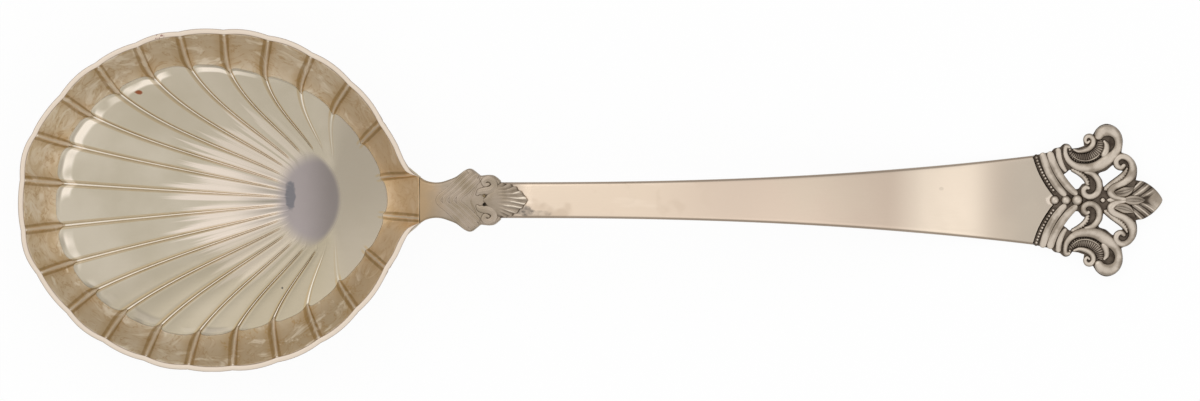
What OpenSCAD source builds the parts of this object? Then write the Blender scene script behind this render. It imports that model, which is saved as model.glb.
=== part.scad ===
// Sugar spoon: a fluted shell bowl, a soldered neck fitting, an arched flat stem and an
// openwork scroll finial. +X runs from the bowl's tip to the finial's tip and +Z is up.
// z = 0 is the table, on which the bowl and the flat back of the finial rest.
// Tables of shares hold points as [share of the length, share of the half width], and a
// third number, where there is one, is a width as a share of the half width.

/* [Bowl] */
// Length of the bowl from its tip to its lip
bowl_len = 56; // [50:1:62]
// Width of the bowl over its rim
bowl_w = 48; // [42:1:54]
// Height of the rim above the table
rim_h = 11; // [9:0.5:13]
// Thickness of the sheet that the bowl is raised from
sheet_t = 0.8; // [0.6:0.05:1]
// Width of the flat edge of the rim
rim_w = 0.75; // [0.5:0.05:1]
// Rise of the bottom's inner face from its middle to the foot of the wall
bottom_rise = 2.2; // [1:0.1:3]
// Height of a rib between two flutes at the rim
rib_h = 0.45; // [0.2:0.05:0.7]
// Depth of the flat that is worn under the bowl
wear_t = 0.08; // [0.02:0.01:0.15]
// Number of flutes around the bowl
flute_count = 24; // [16:2:32]

/* [Neck] */
// Length of the neck fitting
neck_len = 11.3; // [10:0.1:13]
// Width of the neck fitting over its shoulders
neck_w = 8.8; // [8:0.1:10]
// Thickness of the neck fitting and of the start of the stem
neck_t = 2; // [1.6:0.1:2.6]
// Width of the bowl's lip, where the neck meets it
lip_w = 6.4; // [5.6:0.1:7.2]
// Slope of the neck above the table, in degrees
neck_slope = 6; // [3:0.5:9]
// Height of the raised chevrons
chevron_h = 0.3; // [0.2:0.05:0.5]
// Width of a chevron
chevron_w = 0.38; // [0.3:0.02:0.5]
// Number of chevrons
chevron_count = 4; // [2:1:4]
// Height of the small volutes
neck_volute_h = 0.5; // [0.3:0.05:0.8]
// Length of the leaf that laps over the stem, past the end of the neck
lap_len = 3.9; // [3:0.1:5]
// Thickness of that leaf
leaf_t = 0.5; // [0.3:0.05:0.8]

/* [Stem] */
// Length of the stem from the neck to the finial
stem_len = 74.7; // [65:0.5:85]
// Width of the stem at the neck
stem_start_w = 5; // [4:0.1:6]
// Width of the stem at the finial
stem_end_w = 12.5; // [11:0.1:14]
// Exponent of the stem's flare: 1 is a straight taper
stem_flare = 2.45; // [1.5:0.05:3]
// Radius of the upturn at the end of the stem
upturn_r = 32; // [24:1:40]
// Length of flat stem before the finial
flat_len = 3.5; // [2:0.5:6]

/* [Finial] */
// Length of the finial
finial_len = 18.1; // [16:0.1:20]
// Width of the finial
finial_w = 21.4; // [19:0.1:24]
// Thickness of the finial's base plate and of the end of the stem
plate_t = 1.3; // [1:0.05:1.8]
// Width of the strip that carries the grains
bead_strip_w = 0.55; // [0.45:0.05:0.7]
// Thickness of that strip
bead_strip_t = 0.15; // [0.1:0.05:0.3]
// Diameter of one grain
bead_d = 0.4; // [0.3:0.02:0.46]
// Number of grains on each side
bead_count = 12; // [8:1:13]
// Height of the mouldings between the grains and the scrolls
band_h = 0.4; // [0.2:0.05:0.7]
// Height of the outer scrolls
outer_scroll_h = 0.8; // [0.5:0.05:1.2]
// Height of the dark lining inside the outer scrolls
lining_h = 0.25; // [0.15:0.05:0.4]
// Height of the curled lip on the lining
lip_h = 0.6; // [0.4:0.05:0.9]
// Height of the inner volutes
inner_volute_h = 0.75; // [0.5:0.05:1.1]
// Height of the crest scrolls
crest_h = 0.75; // [0.5:0.05:1.1]
// Height of the three petals
petal_h = 0.6; // [0.4:0.05:0.9]
// Thickness of the tip palmette
palmette_t = 0.4; // [0.3:0.05:0.6]
// Height of the ribs on the tip palmette
palmette_rib_h = 0.2; // [0.1:0.05:0.4]
// Width of the ribs on the tip palmette
palmette_rib_w = 0.26; // [0.2:0.02:0.32]
// Diameter of the pearls along the middle
pearl_d = 1.36; // [1:0.02:1.42]
// Height of those pearls
pearl_h = 0.6; // [0.4:0.02:0.7]
// Diameter of the small pearl between the volutes
centre_pearl_d = 0.84; // [0.6:0.02:0.9]

/* [Hidden] */

silver = "#C0B5A3";
pale_silver = "#D9CCBA";
dark_silver = "#57493F";

// Places along the spoon
overall_len = bowl_len + neck_len * cos(neck_slope) + stem_len + finial_len;
tip_x = -overall_len / 2;
lip_x = tip_x + bowl_len;
stem_x = lip_x + neck_len * cos(neck_slope);
finial_x = stem_x + stem_len;
overrun = sheet_t;

// Curves through points, with any number of coordinates each
function spline_pt(a, b, c, d, t) =
    (2 * b + t * (c - a) + t * t * (2 * a - 5 * b + 4 * c - d)
        + t * t * t * (3 * b - a - 3 * c + d)) / 2;
function spline(p, steps) =
    let (last = len(p) - 1)
    [for (i = [0 : last - 1]) for (k = [0 : steps - 1])
        spline_pt(p[max(i - 1, 0)], p[i], p[i + 1], p[min(i + 2, last)], k / steps), p[last]];
function bezier(a, b, c, t) = (1 - t) * (1 - t) * a + 2 * t * (1 - t) * b + t * t * c;
function xy(p) = [p[0], p[1]];
function reversed(p) = [for (i = [len(p) - 1 : -1 : 0]) p[i]];
function mirrored(p) = [for (q = reversed(p)) [q[0], -q[1]]];

// A ribbon is the outline of a band of varying width with a round end: its points are
// [x, y, width]
curve_steps = 4;
cap_steps = 5;
function side_of(p, i) =
    let (d = xy(p[min(i + 1, len(p) - 1)]) - xy(p[max(i - 1, 0)]))
    [-d[1], d[0]] / norm(d);
function cap(p, i, turn) =
    let (s = side_of(p, i), r = p[i][2] / 2)
    [for (k = [1 : cap_steps - 1])
        let (a = turn - 180 * k / cap_steps)
        xy(p[i]) + r * [s[0] * cos(a) - s[1] * sin(a), s[0] * sin(a) + s[1] * cos(a)]];
function ribbon(p) =
    let (c = spline(p, curve_steps), last = len(c) - 1)
    concat([for (i = [0 : last]) xy(c[i]) + side_of(c, i) * c[i][2] / 2],
        cap(c, last, 0),
        [for (i = [last : -1 : 0]) xy(c[i]) - side_of(c, i) * c[i][2] / 2],
        cap(c, 0, 180));

// Bowl

// The rim every 15 degrees from the tip, seen from the middle of the bowl. The last point
// pulls the curve that runs into the lip.
rim_shares = [[0, 0], [0.013, 0.29], [0.07, 0.524], [0.153, 0.742], [0.249, 0.88],
    [0.355, 0.97], [0.466, 0.998], [0.579, 0.987], [0.692, 0.914], [0.795, 0.775],
    [0.882, 0.57], [0.948, 0.315], [0.973, 0.165]];
// The foot of the wall at the same angles, up to the lip
foot_shares = [[0.091, 0], [0.101, 0.245], [0.144, 0.437], [0.206, 0.589], [0.286, 0.7],
    [0.378, 0.776], [0.478, 0.787], [0.571, 0.752], [0.663, 0.694], [0.748, 0.589],
    [0.828, 0.42], [0.89, 0.222], [0.918, 0]];
table_angle = 15;
// The ribs run together at this share of the bowl's length
focus_share = 0.678;
// Lowest place of the bottom, and half the length and width of the bottom
bottom_mid_share = 0.504;
bottom_half_shares = [0.413, 0.787];
// Height of a rib at the foot of the wall, as a share of its height at the rim
foot_rib_share = 0.6;
// How far a rib draws the rim's edge in, as a share of its height
rim_notch_share = 0.5;
// Share of the wall's rise that is spread evenly, the rest grows towards the rim
even_rise_share = 0.5;
// Beyond these angles the ribs fade out on the bottom, next to the handle
fade_from = 100;
fade_to = 130;

columns_per_flute = 4;
bowl_columns = flute_count * columns_per_flute;
bottom_rings = 6;
wall_rings = 5;
bowl_rings = bottom_rings + wall_rings;
lip_angle = 180 - 180 / flute_count;
spline_end = table_angle * (len(rim_shares) - 2);
bottom_h = sheet_t - wear_t;
angle_step = 0.5;
ring_step = 0.1;

function bowl_pt(p) = [tip_x + p[0] * bowl_len, p[1] * bowl_w / 2];
function table_pt(p, a) =
    let (i = min(floor(a / table_angle), len(p) - 2), before = [p[1][0], -p[1][1]],
        after = [p[len(p) - 2][0], -p[len(p) - 2][1]])
    spline_pt(i > 0 ? p[i - 1] : before, p[i], p[i + 1],
        i + 2 < len(p) ? p[i + 2] : after, a / table_angle - i);
function signed(p, a) = [p[0], a < 0 ? -p[1] : p[1]];
lip_corner = [lip_x, lip_w / 2];

// Outer edge of the rim at angle a, from -180 to 180 degrees
function rim_edge(a) =
    let (b = abs(a))
    signed(b <= spline_end ? bowl_pt(table_pt(rim_shares, b))
        : b <= lip_angle ? bezier(bowl_pt(rim_shares[len(rim_shares) - 2]),
            bowl_pt(rim_shares[len(rim_shares) - 1]), lip_corner,
            (b - spline_end) / (lip_angle - spline_end))
        : [lip_x, lip_w / 2 * (180 - b) / (180 - lip_angle)], a);
function foot_edge(a) = signed(bowl_pt(table_pt(foot_shares, abs(a))), a);
function on_lip(a) = abs(a) > lip_angle + angle_step / 2;
function at_lip(a) = abs(a) > lip_angle - angle_step / 2;
function inner_edge(a) =
    let (r = rim_edge(a), d = foot_edge(a) - r)
    on_lip(a) ? r : at_lip(a) ? signed([lip_x, lip_w / 2 - rim_w], a) : r + d * rim_w / norm(d);

// Inner face before the ribs: m runs from 0 at the focus over 1 at the foot of the wall to
// 2 at the rim
focus = [tip_x + focus_share * bowl_len, 0];
function plan_pt(a, m) =
    let (f = foot_edge(a))
    m <= 1 ? focus + (f - focus) * m : f + (inner_edge(a) - f) * (m - 1);
function bottom_z(p) =
    let (u = (p[0] - tip_x - bottom_mid_share * bowl_len) / (bottom_half_shares[0] * bowl_len),
        v = p[1] / (bottom_half_shares[1] * bowl_w / 2))
    bottom_h + bottom_rise * (u * u + v * v);
function wall_share(q) = even_rise_share * q + (1 - even_rise_share) * q * q;
function base_pt(a, m) =
    let (p = plan_pt(a, m), foot_z = bottom_z(foot_edge(a)))
    m <= 1 ? [p[0], p[1], bottom_z(p)]
        : [p[0], p[1], foot_z + (rim_h - foot_z) * wall_share(m - 1)];
function out_normal(a, m) =
    let (u = base_pt(a + angle_step, m) - base_pt(a - angle_step, m),
        v = base_pt(a, m + ring_step) - base_pt(a, m - ring_step), n = cross(v, u))
    n / norm(n);

// Ribs: 0 in the middle of a flute and 1 on a rib
function ridge(a) =
    let (f = a * flute_count / 360, g = 2 * abs(f - round(f)))
    at_lip(a) ? 0 : g * g;
function fade(a) = max(0, min(1, (fade_to - abs(a)) / (fade_to - fade_from)));
function rib_height(a, m) =
    let (s = foot_rib_share * fade(a))
    rib_h * ridge(a) * (m <= 1 ? s * m : s + (1 - s) * (m - 1));

function rim_notch(a) = rim_notch_share * rib_h * ridge(a);
function inner_pt(a, m) = base_pt(a, m) - out_normal(a, m) * rib_height(a, m);
function rim_inner_pt(a) =
    let (p = inner_edge(a), d = foot_edge(a) - rim_edge(a), q = p + d * rim_notch(a) / norm(d))
    [q[0], q[1], rim_h];
function rim_outer_pt(a) =
    let (p = rim_edge(a), d = foot_edge(a) - p, q = p + d * rim_notch(a) / norm(d))
    on_lip(a) ? [p[0] + neck_t * sin(neck_slope), p[1], rim_h - neck_t * cos(neck_slope)]
        : [q[0], q[1], rim_h];
function on_table(p) = [p[0], p[1], max(p[2], 0)];

function column_angle(j) = 360 * j / bowl_columns - 180;
ring_places = concat([for (i = [1 : bottom_rings]) i / bottom_rings],
    [for (i = [1 : wall_rings]) 1 + i / wall_rings]);
bowl_inner_points = [for (m = ring_places) for (j = [0 : bowl_columns - 1])
    let (a = column_angle(j)) m < 2 ? inner_pt(a, m) : rim_inner_pt(a)];
bowl_outer_points = [for (i = [0 : bowl_rings - 1]) for (j = [0 : bowl_columns - 1])
    let (a = column_angle(j), m = ring_places[i])
    m < 2 ? on_table(bowl_inner_points[i * bowl_columns + j] + out_normal(a, m) * sheet_t)
        : rim_outer_pt(a)];
focus_z = bottom_z(focus);

// Two triangles over four points, cut along the diagonal that keeps the two halves of the
// bowl alike
function quad(a, b, c, d, flip) = flip ? [[a, b, d], [b, c, d]] : [[a, b, c], [a, c, d]];

module bowl() {
    n = bowl_columns;
    grid = bowl_rings * n;
    middle = 2 * grid;
    function near(i, j) = i * n + j % n;
    function far(i, j) = grid + i * n + j % n;
    inner_faces = [for (i = [0 : bowl_rings - 2]) for (j = [0 : n - 1])
        each quad(near(i, j), near(i, j + 1), near(i + 1, j + 1), near(i + 1, j), j < n / 2)];
    outer_faces = [for (i = [0 : bowl_rings - 2]) for (j = [0 : n - 1])
        each quad(far(i, j + 1), far(i, j), far(i + 1, j), far(i + 1, j + 1), j >= n / 2)];
    rim_faces = [for (j = [0 : n - 1]) let (i = bowl_rings - 1)
        each quad(near(i, j), near(i, j + 1), far(i, j + 1), far(i, j), j < n / 2)];
    inner_middle = [for (j = [0 : n - 1]) [middle, near(0, j + 1), near(0, j)]];
    outer_middle = [for (j = [0 : n - 1]) [middle + 1, far(0, j), far(0, j + 1)]];
    color(silver)
        polyhedron(
            points = concat(bowl_inner_points, bowl_outer_points,
                [[focus[0], 0, focus_z], [focus[0], 0, max(focus_z - sheet_t, 0)]]),
            faces = concat(inner_faces, outer_faces, rim_faces, inner_middle, outer_middle));
}

// Neck: its frame starts at the lip, slopes with the neck, and has z = 0 on its top

neck_edge_shares = [[0.074, 0.619], [0.173, 0.565], [0.27, 0.578], [0.36, 0.648],
    [0.457, 0.752], [0.556, 0.937], [0.63, 1], [0.704, 0.879], [0.753, 0.784]];
neck_curl_shares = [[0.802, 0.79], [0.87, 0.803], [0.93, 0.765], [1, 0.619]];
// Tip and end of one arm of each chevron
chevron_shares = [[[0.24, 0], [0.5, 0.7]], [[0.31, 0], [0.565, 0.74]],
    [[0.38, 0], [0.66, 0.84]], [[0.45, 0], [0.7, 0.72]]];
neck_volute_shares = [[0.74, 0.2, 0.1], [0.735, 0.42, 0.11], [0.785, 0.64, 0.12],
    [0.86, 0.72, 0.12], [0.93, 0.64, 0.12], [0.958, 0.48, 0.11], [0.925, 0.34, 0.1],
    [0.858, 0.35, 0.09], [0.83, 0.47, 0.08], [0.86, 0.55, 0.07]];
// The leaf lies on the neck up to the neck's end, and on the stem from there on
leaf_root_shares = [[0.82, 0], [0.825, 0.06], [0.88, 0.15], [0.95, 0.24], [1, 0.33]];
leaf_lap_shares = [[0.08, 0.48], [0.2, 0.54], [0.46, 0.49], [0.68, 0.36], [0.86, 0.2], [1, 0]];

function neck_pt(p) = [p[0] * neck_len, p[1] * neck_w / 2];
function neck_ribbon(p) = ribbon([for (q = p) [q[0] * neck_len, q[1] * neck_w / 2,
    q[2] * neck_w / 2]]);
function leaf_lap_pt(p) = [neck_len + p[0] * lap_len, p[1] * neck_w / 2];

module neck_frame() translate([lip_x, 0, rim_h]) rotate([0, -neck_slope, 0]) children();

module neck_plate() {
    half = concat([[0, lip_w / 2]], spline([for (p = neck_edge_shares) neck_pt(p)], curve_steps),
        spline([for (p = neck_curl_shares) neck_pt(p)], curve_steps));
    color(silver) neck_frame() translate([0, 0, -neck_t])
        linear_extrude(neck_t) polygon(concat(half, mirrored(half)));
}

module chevron(k) {
    tip = neck_pt(chevron_shares[k][0]);
    end = neck_pt(chevron_shares[k][1]);
    back = [chevron_w * norm(end - tip) / (end[1] - tip[1]), 0];
    linear_extrude(chevron_h)
        polygon([tip, end, end + back, tip + back, [end[0] + back[0], -end[1]],
            [end[0], -end[1]]]);
}

module neck_chevrons() {
    color(silver) neck_frame() for (k = [0 : chevron_count - 1]) chevron(k);
}

module neck_volute(side) {
    color(pale_silver) neck_frame() scale_y(side)
        linear_extrude(neck_volute_h) polygon(neck_ribbon(neck_volute_shares));
}

module neck_palmette() {
    half = concat(spline([for (p = leaf_root_shares) neck_pt(p)], curve_steps),
        spline([for (p = leaf_lap_shares) leaf_lap_pt(p)], curve_steps));
    color(pale_silver) neck_frame()
        linear_extrude(leaf_t) polygon(concat(half, mirrored(half)));
}

// Mirrors what it holds to the right-hand side, or leaves it on the left
module scale_y(side) {
    if (side > 0) children();
    else mirror([0, 1, 0]) children();
}

// Stem: a straight run under the leaf, an arc down, an arc up to the flat, and the flat

arc_steps = 20;
straight_end = [lip_x + (neck_len + lap_len + overrun) * cos(neck_slope),
    rim_h + (neck_len + lap_len + overrun) * sin(neck_slope)];
flat_start = [finial_x - flat_len, plate_t];
arc_run = flat_start[0] - straight_end[0];
arc_drop = straight_end[1] - flat_start[1];
// Radius of the long arc that meets the straight run and the upturn without a kink
arch_r = (arc_run * arc_run + arc_drop * arc_drop - 2 * upturn_r * arc_drop)
    / (2 * (upturn_r + arc_run * sin(neck_slope) - (upturn_r - arc_drop) * cos(neck_slope)));
arch_centre = straight_end + arch_r * [sin(neck_slope), -cos(neck_slope)];
end_slope = asin((flat_start[0] - arch_centre[0]) / (arch_r + upturn_r));
upturn_centre = flat_start + [0, upturn_r];

function down(slope) = [sin(slope), -cos(slope)];
// Each place along the top of the stem is [x, z, slope, share of the way to the flat]
stem_start = [stem_x, rim_h + neck_len * sin(neck_slope)];
stem_places = concat([[stem_start, neck_slope, 0]],
    [for (k = [0 : arc_steps]) let (s = neck_slope - (neck_slope + end_slope) * k / arc_steps)
        [arch_centre - arch_r * down(s), s,
            (arch_centre[0] - arch_r * sin(s) - stem_x) / (flat_start[0] - stem_x)]],
    [for (k = [1 : arc_steps]) let (s = end_slope * (k / arc_steps - 1))
        [upturn_centre + upturn_r * down(s), s,
            (upturn_centre[0] + upturn_r * sin(s) - stem_x) / (flat_start[0] - stem_x)]]);
function stem_thickness(f) = neck_t + (plate_t - neck_t) * f;

// Seam between stem and finial: the end of the stem is a tongue with curved sides
seam_pull_shares = [0.042, 0.288];
seam_tip_share = 0.193;
seam_steps = 8;
function fin_pt(p) = [finial_x + p[0] * finial_len, p[1] * finial_w / 2];
function seam_pt(t) = bezier([finial_x, stem_end_w / 2], fin_pt(seam_pull_shares),
    fin_pt([seam_tip_share, 0]), t);
seam = [for (i = [0 : seam_steps]) seam_pt(i / seam_steps)];

stem_plan_steps = 24;
function stem_half_w(f) = (stem_start_w + (stem_end_w - stem_start_w) * pow(f, stem_flare)) / 2;

module stem() {
    edge = concat([[stem_x - neck_t, stem_start_w / 2]],
        [for (i = [0 : stem_plan_steps - 1]) let (f = i / stem_plan_steps)
            [stem_x + f * stem_len, stem_half_w(f)]], seam);
    end_x = fin_pt([seam_tip_share, 0])[0] + overrun;
    top = concat([for (p = stem_places) p[0]], [[end_x, plate_t]]);
    bottom = concat([for (p = stem_places) p[0] + stem_thickness(p[2]) * down(p[1])],
        [[end_x, 0]]);
    color(pale_silver) intersection() {
        translate([0, 0, -overrun])
            linear_extrude(2 * rim_h + 2 * overrun)
                polygon(concat(edge, mirrored([for (i = [0 : len(edge) - 2]) edge[i]])));
        translate([0, finial_w / 2, 0]) rotate([90, 0, 0])
            linear_extrude(finial_w) polygon(concat(top, reversed(bottom)));
    }
}

// Finial

// The edge of the upper half from the stem to the tip: one list for each bulge
lobe_shares = [
    [[0.139, 0.634], [0.162, 0.676], [0.193, 0.689]],
    [[0.208, 0.695], [0.232, 0.732], [0.255, 0.741], [0.282, 0.722], [0.301, 0.676]],
    [[0.347, 0.685], [0.394, 0.712]],
    [[0.388, 0.778], [0.409, 0.839], [0.44, 0.863], [0.463, 0.863]],
    [[0.486, 0.928], [0.521, 0.978], [0.571, 1], [0.633, 0.963], [0.676, 0.882],
        [0.693, 0.771], [0.682, 0.627]],
    [[0.734, 0.591], [0.776, 0.529], [0.8, 0.444], [0.803, 0.353], [0.794, 0.264]],
    [[0.849, 0.242], [0.903, 0.19], [0.95, 0.12], [0.985, 0.055], [1, 0]]];
near_opening_shares = [[0.228, 0.307], [0.255, 0.359], [0.286, 0.396], [0.332, 0.366],
    [0.375, 0.307], [0.409, 0.235], [0.378, 0.209], [0.34, 0.144], [0.282, 0.19]];
far_opening_shares = [[0.506, 0.346], [0.564, 0.388], [0.618, 0.458], [0.649, 0.405],
    [0.695, 0.373], [0.672, 0.294], [0.61, 0.216], [0.548, 0.17], [0.533, 0.261]];
outer_scroll_shares = [[0.263, 0.686, 0.078], [0.243, 0.601, 0.059], [0.274, 0.506, 0.072],
    [0.34, 0.441, 0.105], [0.425, 0.422, 0.124], [0.51, 0.46, 0.137], [0.583, 0.542, 0.157],
    [0.636, 0.66, 0.15], [0.65, 0.784, 0.118], [0.62, 0.895, 0.118], [0.564, 0.932, 0.116],
    [0.512, 0.89, 0.096], [0.506, 0.824, 0.072]];
lining_shares = [[0.29, 0.608, 0.039], [0.328, 0.562, 0.078], [0.386, 0.545, 0.092],
    [0.456, 0.569, 0.092], [0.502, 0.647, 0.088], [0.511, 0.7, 0.06]];
scroll_lip_shares = [[0.32, 0.644, 0.039], [0.371, 0.631, 0.047], [0.421, 0.658, 0.052],
    [0.45, 0.712, 0.052], [0.453, 0.78, 0.046], [0.431, 0.818, 0.036], [0.409, 0.8, 0.028],
    [0.413, 0.762, 0.028]];
inner_volute_shares = [[0.42, 0.38, 0.078], [0.483, 0.316, 0.078], [0.51, 0.248, 0.078],
    [0.51, 0.157, 0.085], [0.483, 0.081, 0.085], [0.432, 0.052, 0.072], [0.386, 0.085, 0.07],
    [0.382, 0.157, 0.066], [0.424, 0.186, 0.056]];
crest_shares = [[0.583, 0.125, 0.07], [0.626, 0.18, 0.074], [0.687, 0.225, 0.092],
    [0.741, 0.288, 0.105], [0.768, 0.373, 0.094], [0.758, 0.471, 0.088], [0.722, 0.54, 0.085],
    [0.672, 0.555, 0.078], [0.652, 0.493, 0.07], [0.676, 0.444, 0.065]];
side_petal_shares = [[0.63, 0.1, 0.03], [0.664, 0.111, 0.072], [0.71, 0.118, 0.092],
    [0.749, 0.136, 0.065], [0.784, 0.159, 0.01]];
centre_petal_shares = [[0.575, 0, 0.05], [0.605, 0, 0.14], [0.656, 0, 0.118],
    [0.734, 0, 0.124], [0.803, 0, 0.092], [0.869, 0, 0.01]];
palmette_shares = [[0.757, 0], [0.757, 0.055], [0.792, 0.14], [0.8, 0.235], [0.849, 0.222],
    [0.903, 0.173], [0.95, 0.107], [0.978, 0.05], [0.99, 0]];
// Ribs of the tip palmette: root and tip of the first and of the last one on a side
first_rib_shares = [[0.812, 0.18], [0.83, 0.215]];
last_rib_shares = [[0.885, 0.045], [0.945, 0.1]];
palmette_ribs = 6;
// Mouldings: the middle line of each, with its width
band_shares = [
    [[0.069, 0.582, 0.058], [0.106, 0.412, 0.058], [0.168, 0.222, 0.056], [0.222, 0.111, 0.05]],
    [[0.127, 0.59, 0.082], [0.15, 0.484, 0.08], [0.178, 0.366, 0.074], [0.222, 0.237, 0.068],
        [0.304, 0.116, 0.062]],
    [[0.197, 0.647, 0.055], [0.199, 0.549, 0.055], [0.215, 0.458, 0.055], [0.24, 0.39, 0.04]]];
pearl_place_shares = [0.162, 0.253, 0.34];
centre_pearl_share = 0.537;
// Stretch of the seam along which the grains run
bead_run_shares = [0.03, 0.84];

function fin_ribbon(p) = ribbon([for (q = p) [finial_x + q[0] * finial_len,
    q[1] * finial_w / 2, q[2] * finial_w / 2]]);
function fin_outline(p) = spline([for (q = p) fin_pt(q)], curve_steps);

module on_plate(h) translate([0, 0, plate_t]) linear_extrude(h) children();

module plate_outline() {
    half = concat(reversed(seam), [for (lobe = lobe_shares) each fin_outline(lobe)]);
    inner = [for (i = [1 : len(half) - 2]) half[i]];
    polygon(concat(half, mirrored(inner)));
}

module finial_plate() {
    color(silver) linear_extrude(plate_t) difference() {
        plate_outline();
        for (side = [1, -1]) scale_y(side)
            for (p = [near_opening_shares, far_opening_shares])
                polygon([for (i = [0 : len(p) - 1]) for (k = [0 : curve_steps - 1])
                    let (n = len(p)) fin_pt(spline_pt(p[(i + n - 1) % n], p[i],
                        p[(i + 1) % n], p[(i + 2) % n], k / curve_steps))]);
    }
}

// The strip lies next to the seam, on the finial's side. Its middle is this share of its
// width away from the seam.
bead_line_share = 0.65;
function bead_place(t) =
    let (a = seam_pt(t), d = seam_pt(t + 1 / seam_steps) - a)
    a + [-d[1], d[0]] / norm(d) * bead_strip_w * bead_line_share;
function run_share(f) = bead_run_shares[0] + (bead_run_shares[1] - bead_run_shares[0]) * f;

module bead_wire(side) {
    line = [for (i = [0 : seam_steps]) concat(bead_place(run_share(i / seam_steps)),
        [bead_strip_w])];
    color(pale_silver) scale_y(side) {
        on_plate(bead_strip_t) polygon(ribbon(line));
        for (k = [0 : bead_count - 1])
            let (p = bead_place(run_share((k + 0.5) / bead_count)))
            translate([p[0], p[1], plate_t + bead_strip_t])
                intersection() {
                    sphere(d = bead_d, $fn = 24);
                    translate([-bead_d, -bead_d, -bead_strip_t / 2]) cube(2 * bead_d);
                }
    }
}

module fan_bands(side) {
    color(pale_silver) scale_y(side)
        for (p = band_shares) on_plate(band_h) polygon(fin_ribbon(p));
}

// A pearl is a slice of a ball, as high as asked, with its flat on the plate
module pearl(d, h) {
    r = (d * d / 4 + h * h) / (2 * h);
    intersection() {
        translate([0, 0, h - r]) sphere(r, $fn = 48);
        translate([-r, -r, 0]) cube(2 * r);
    }
}

module axis_pearls() {
    color(pale_silver) for (share = pearl_place_shares)
        translate([fin_pt([share, 0])[0], 0, plate_t]) pearl(pearl_d, pearl_h);
}

module centre_pearl() {
    color(pale_silver) translate([fin_pt([centre_pearl_share, 0])[0], 0, plate_t])
        pearl(centre_pearl_d, pearl_h * centre_pearl_d / pearl_d);
}

module outer_scroll(side) {
    color(silver) scale_y(side) on_plate(outer_scroll_h)
        polygon(fin_ribbon(outer_scroll_shares));
}

module scroll_lining(side) {
    color(dark_silver) scale_y(side) on_plate(lining_h) polygon(fin_ribbon(lining_shares));
}

module scroll_lip(side) {
    color(pale_silver) scale_y(side) on_plate(lip_h) polygon(fin_ribbon(scroll_lip_shares));
}

// The volute and the crest butt against the outer scroll
module inner_volute(side) {
    color(silver) scale_y(side) on_plate(inner_volute_h) difference() {
        polygon(fin_ribbon(inner_volute_shares));
        polygon(fin_ribbon(outer_scroll_shares));
    }
}

module crest_outline() {
    difference() {
        polygon(fin_ribbon(crest_shares));
        polygon(fin_ribbon(outer_scroll_shares));
    }
}

module crest_scroll(side) {
    color(silver) scale_y(side) on_plate(crest_h) crest_outline();
}

module petals_outline() {
    difference() {
        union() {
            polygon(fin_ribbon(centre_petal_shares));
            for (side = [1, -1]) scale_y(side) polygon(fin_ribbon(side_petal_shares));
        }
        for (side = [1, -1]) scale_y(side) crest_outline();
    }
}

module petals() {
    color(pale_silver) on_plate(petal_h) petals_outline();
}

module tip_palmette() {
    half = [for (q = palmette_shares) fin_pt(q)];
    inner = [for (i = [1 : len(half) - 2]) half[i]];
    color(silver) {
        on_plate(palmette_t) difference() {
            polygon(concat(half, mirrored(inner)));
            petals_outline();
            for (side = [1, -1]) scale_y(side) crest_outline();
        }
        translate([0, 0, palmette_t]) on_plate(palmette_rib_h)
            for (side = [1, -1]) scale_y(side) for (k = [0 : palmette_ribs - 1])
                let (f = k / (palmette_ribs - 1), root = fin_pt(first_rib_shares[0] * (1 - f)
                    + last_rib_shares[0] * f), tip = fin_pt(first_rib_shares[1] * (1 - f)
                    + last_rib_shares[1] * f))
                polygon(ribbon([concat(root, [palmette_rib_w]), concat(tip, [palmette_rib_w])]));
    }
}

bowl();
neck_plate();
neck_chevrons();
neck_volute(1);  // neck_volute_left
neck_volute(-1);  // neck_volute_right
neck_palmette();
stem();
finial_plate();
bead_wire(1);  // bead_wire_left
bead_wire(-1);  // bead_wire_right
fan_bands(1);  // fan_bands_left
fan_bands(-1);  // fan_bands_right
axis_pearls();
centre_pearl();
outer_scroll(1);  // outer_scroll_left
outer_scroll(-1);  // outer_scroll_right
scroll_lining(1);  // scroll_lining_left
scroll_lining(-1);  // scroll_lining_right
scroll_lip(1);  // scroll_lip_left
scroll_lip(-1);  // scroll_lip_right
inner_volute(1);  // inner_volute_left
inner_volute(-1);  // inner_volute_right
crest_scroll(1);  // crest_scroll_left
crest_scroll(-1);  // crest_scroll_right
petals();
tip_palmette();
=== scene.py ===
"""A silver sugar spoon with a fluted shell bowl, dressed over its fixed solid model.

+X runs from the bowl's tip to the finial's tip, +Z is up, and z = 0 is the table.
Sizes are in millimetres until a mesh is made. Tables of shares hold points as [share of the
length, share of the half width], and a third number is a width as a share of the half width.
"""

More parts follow.
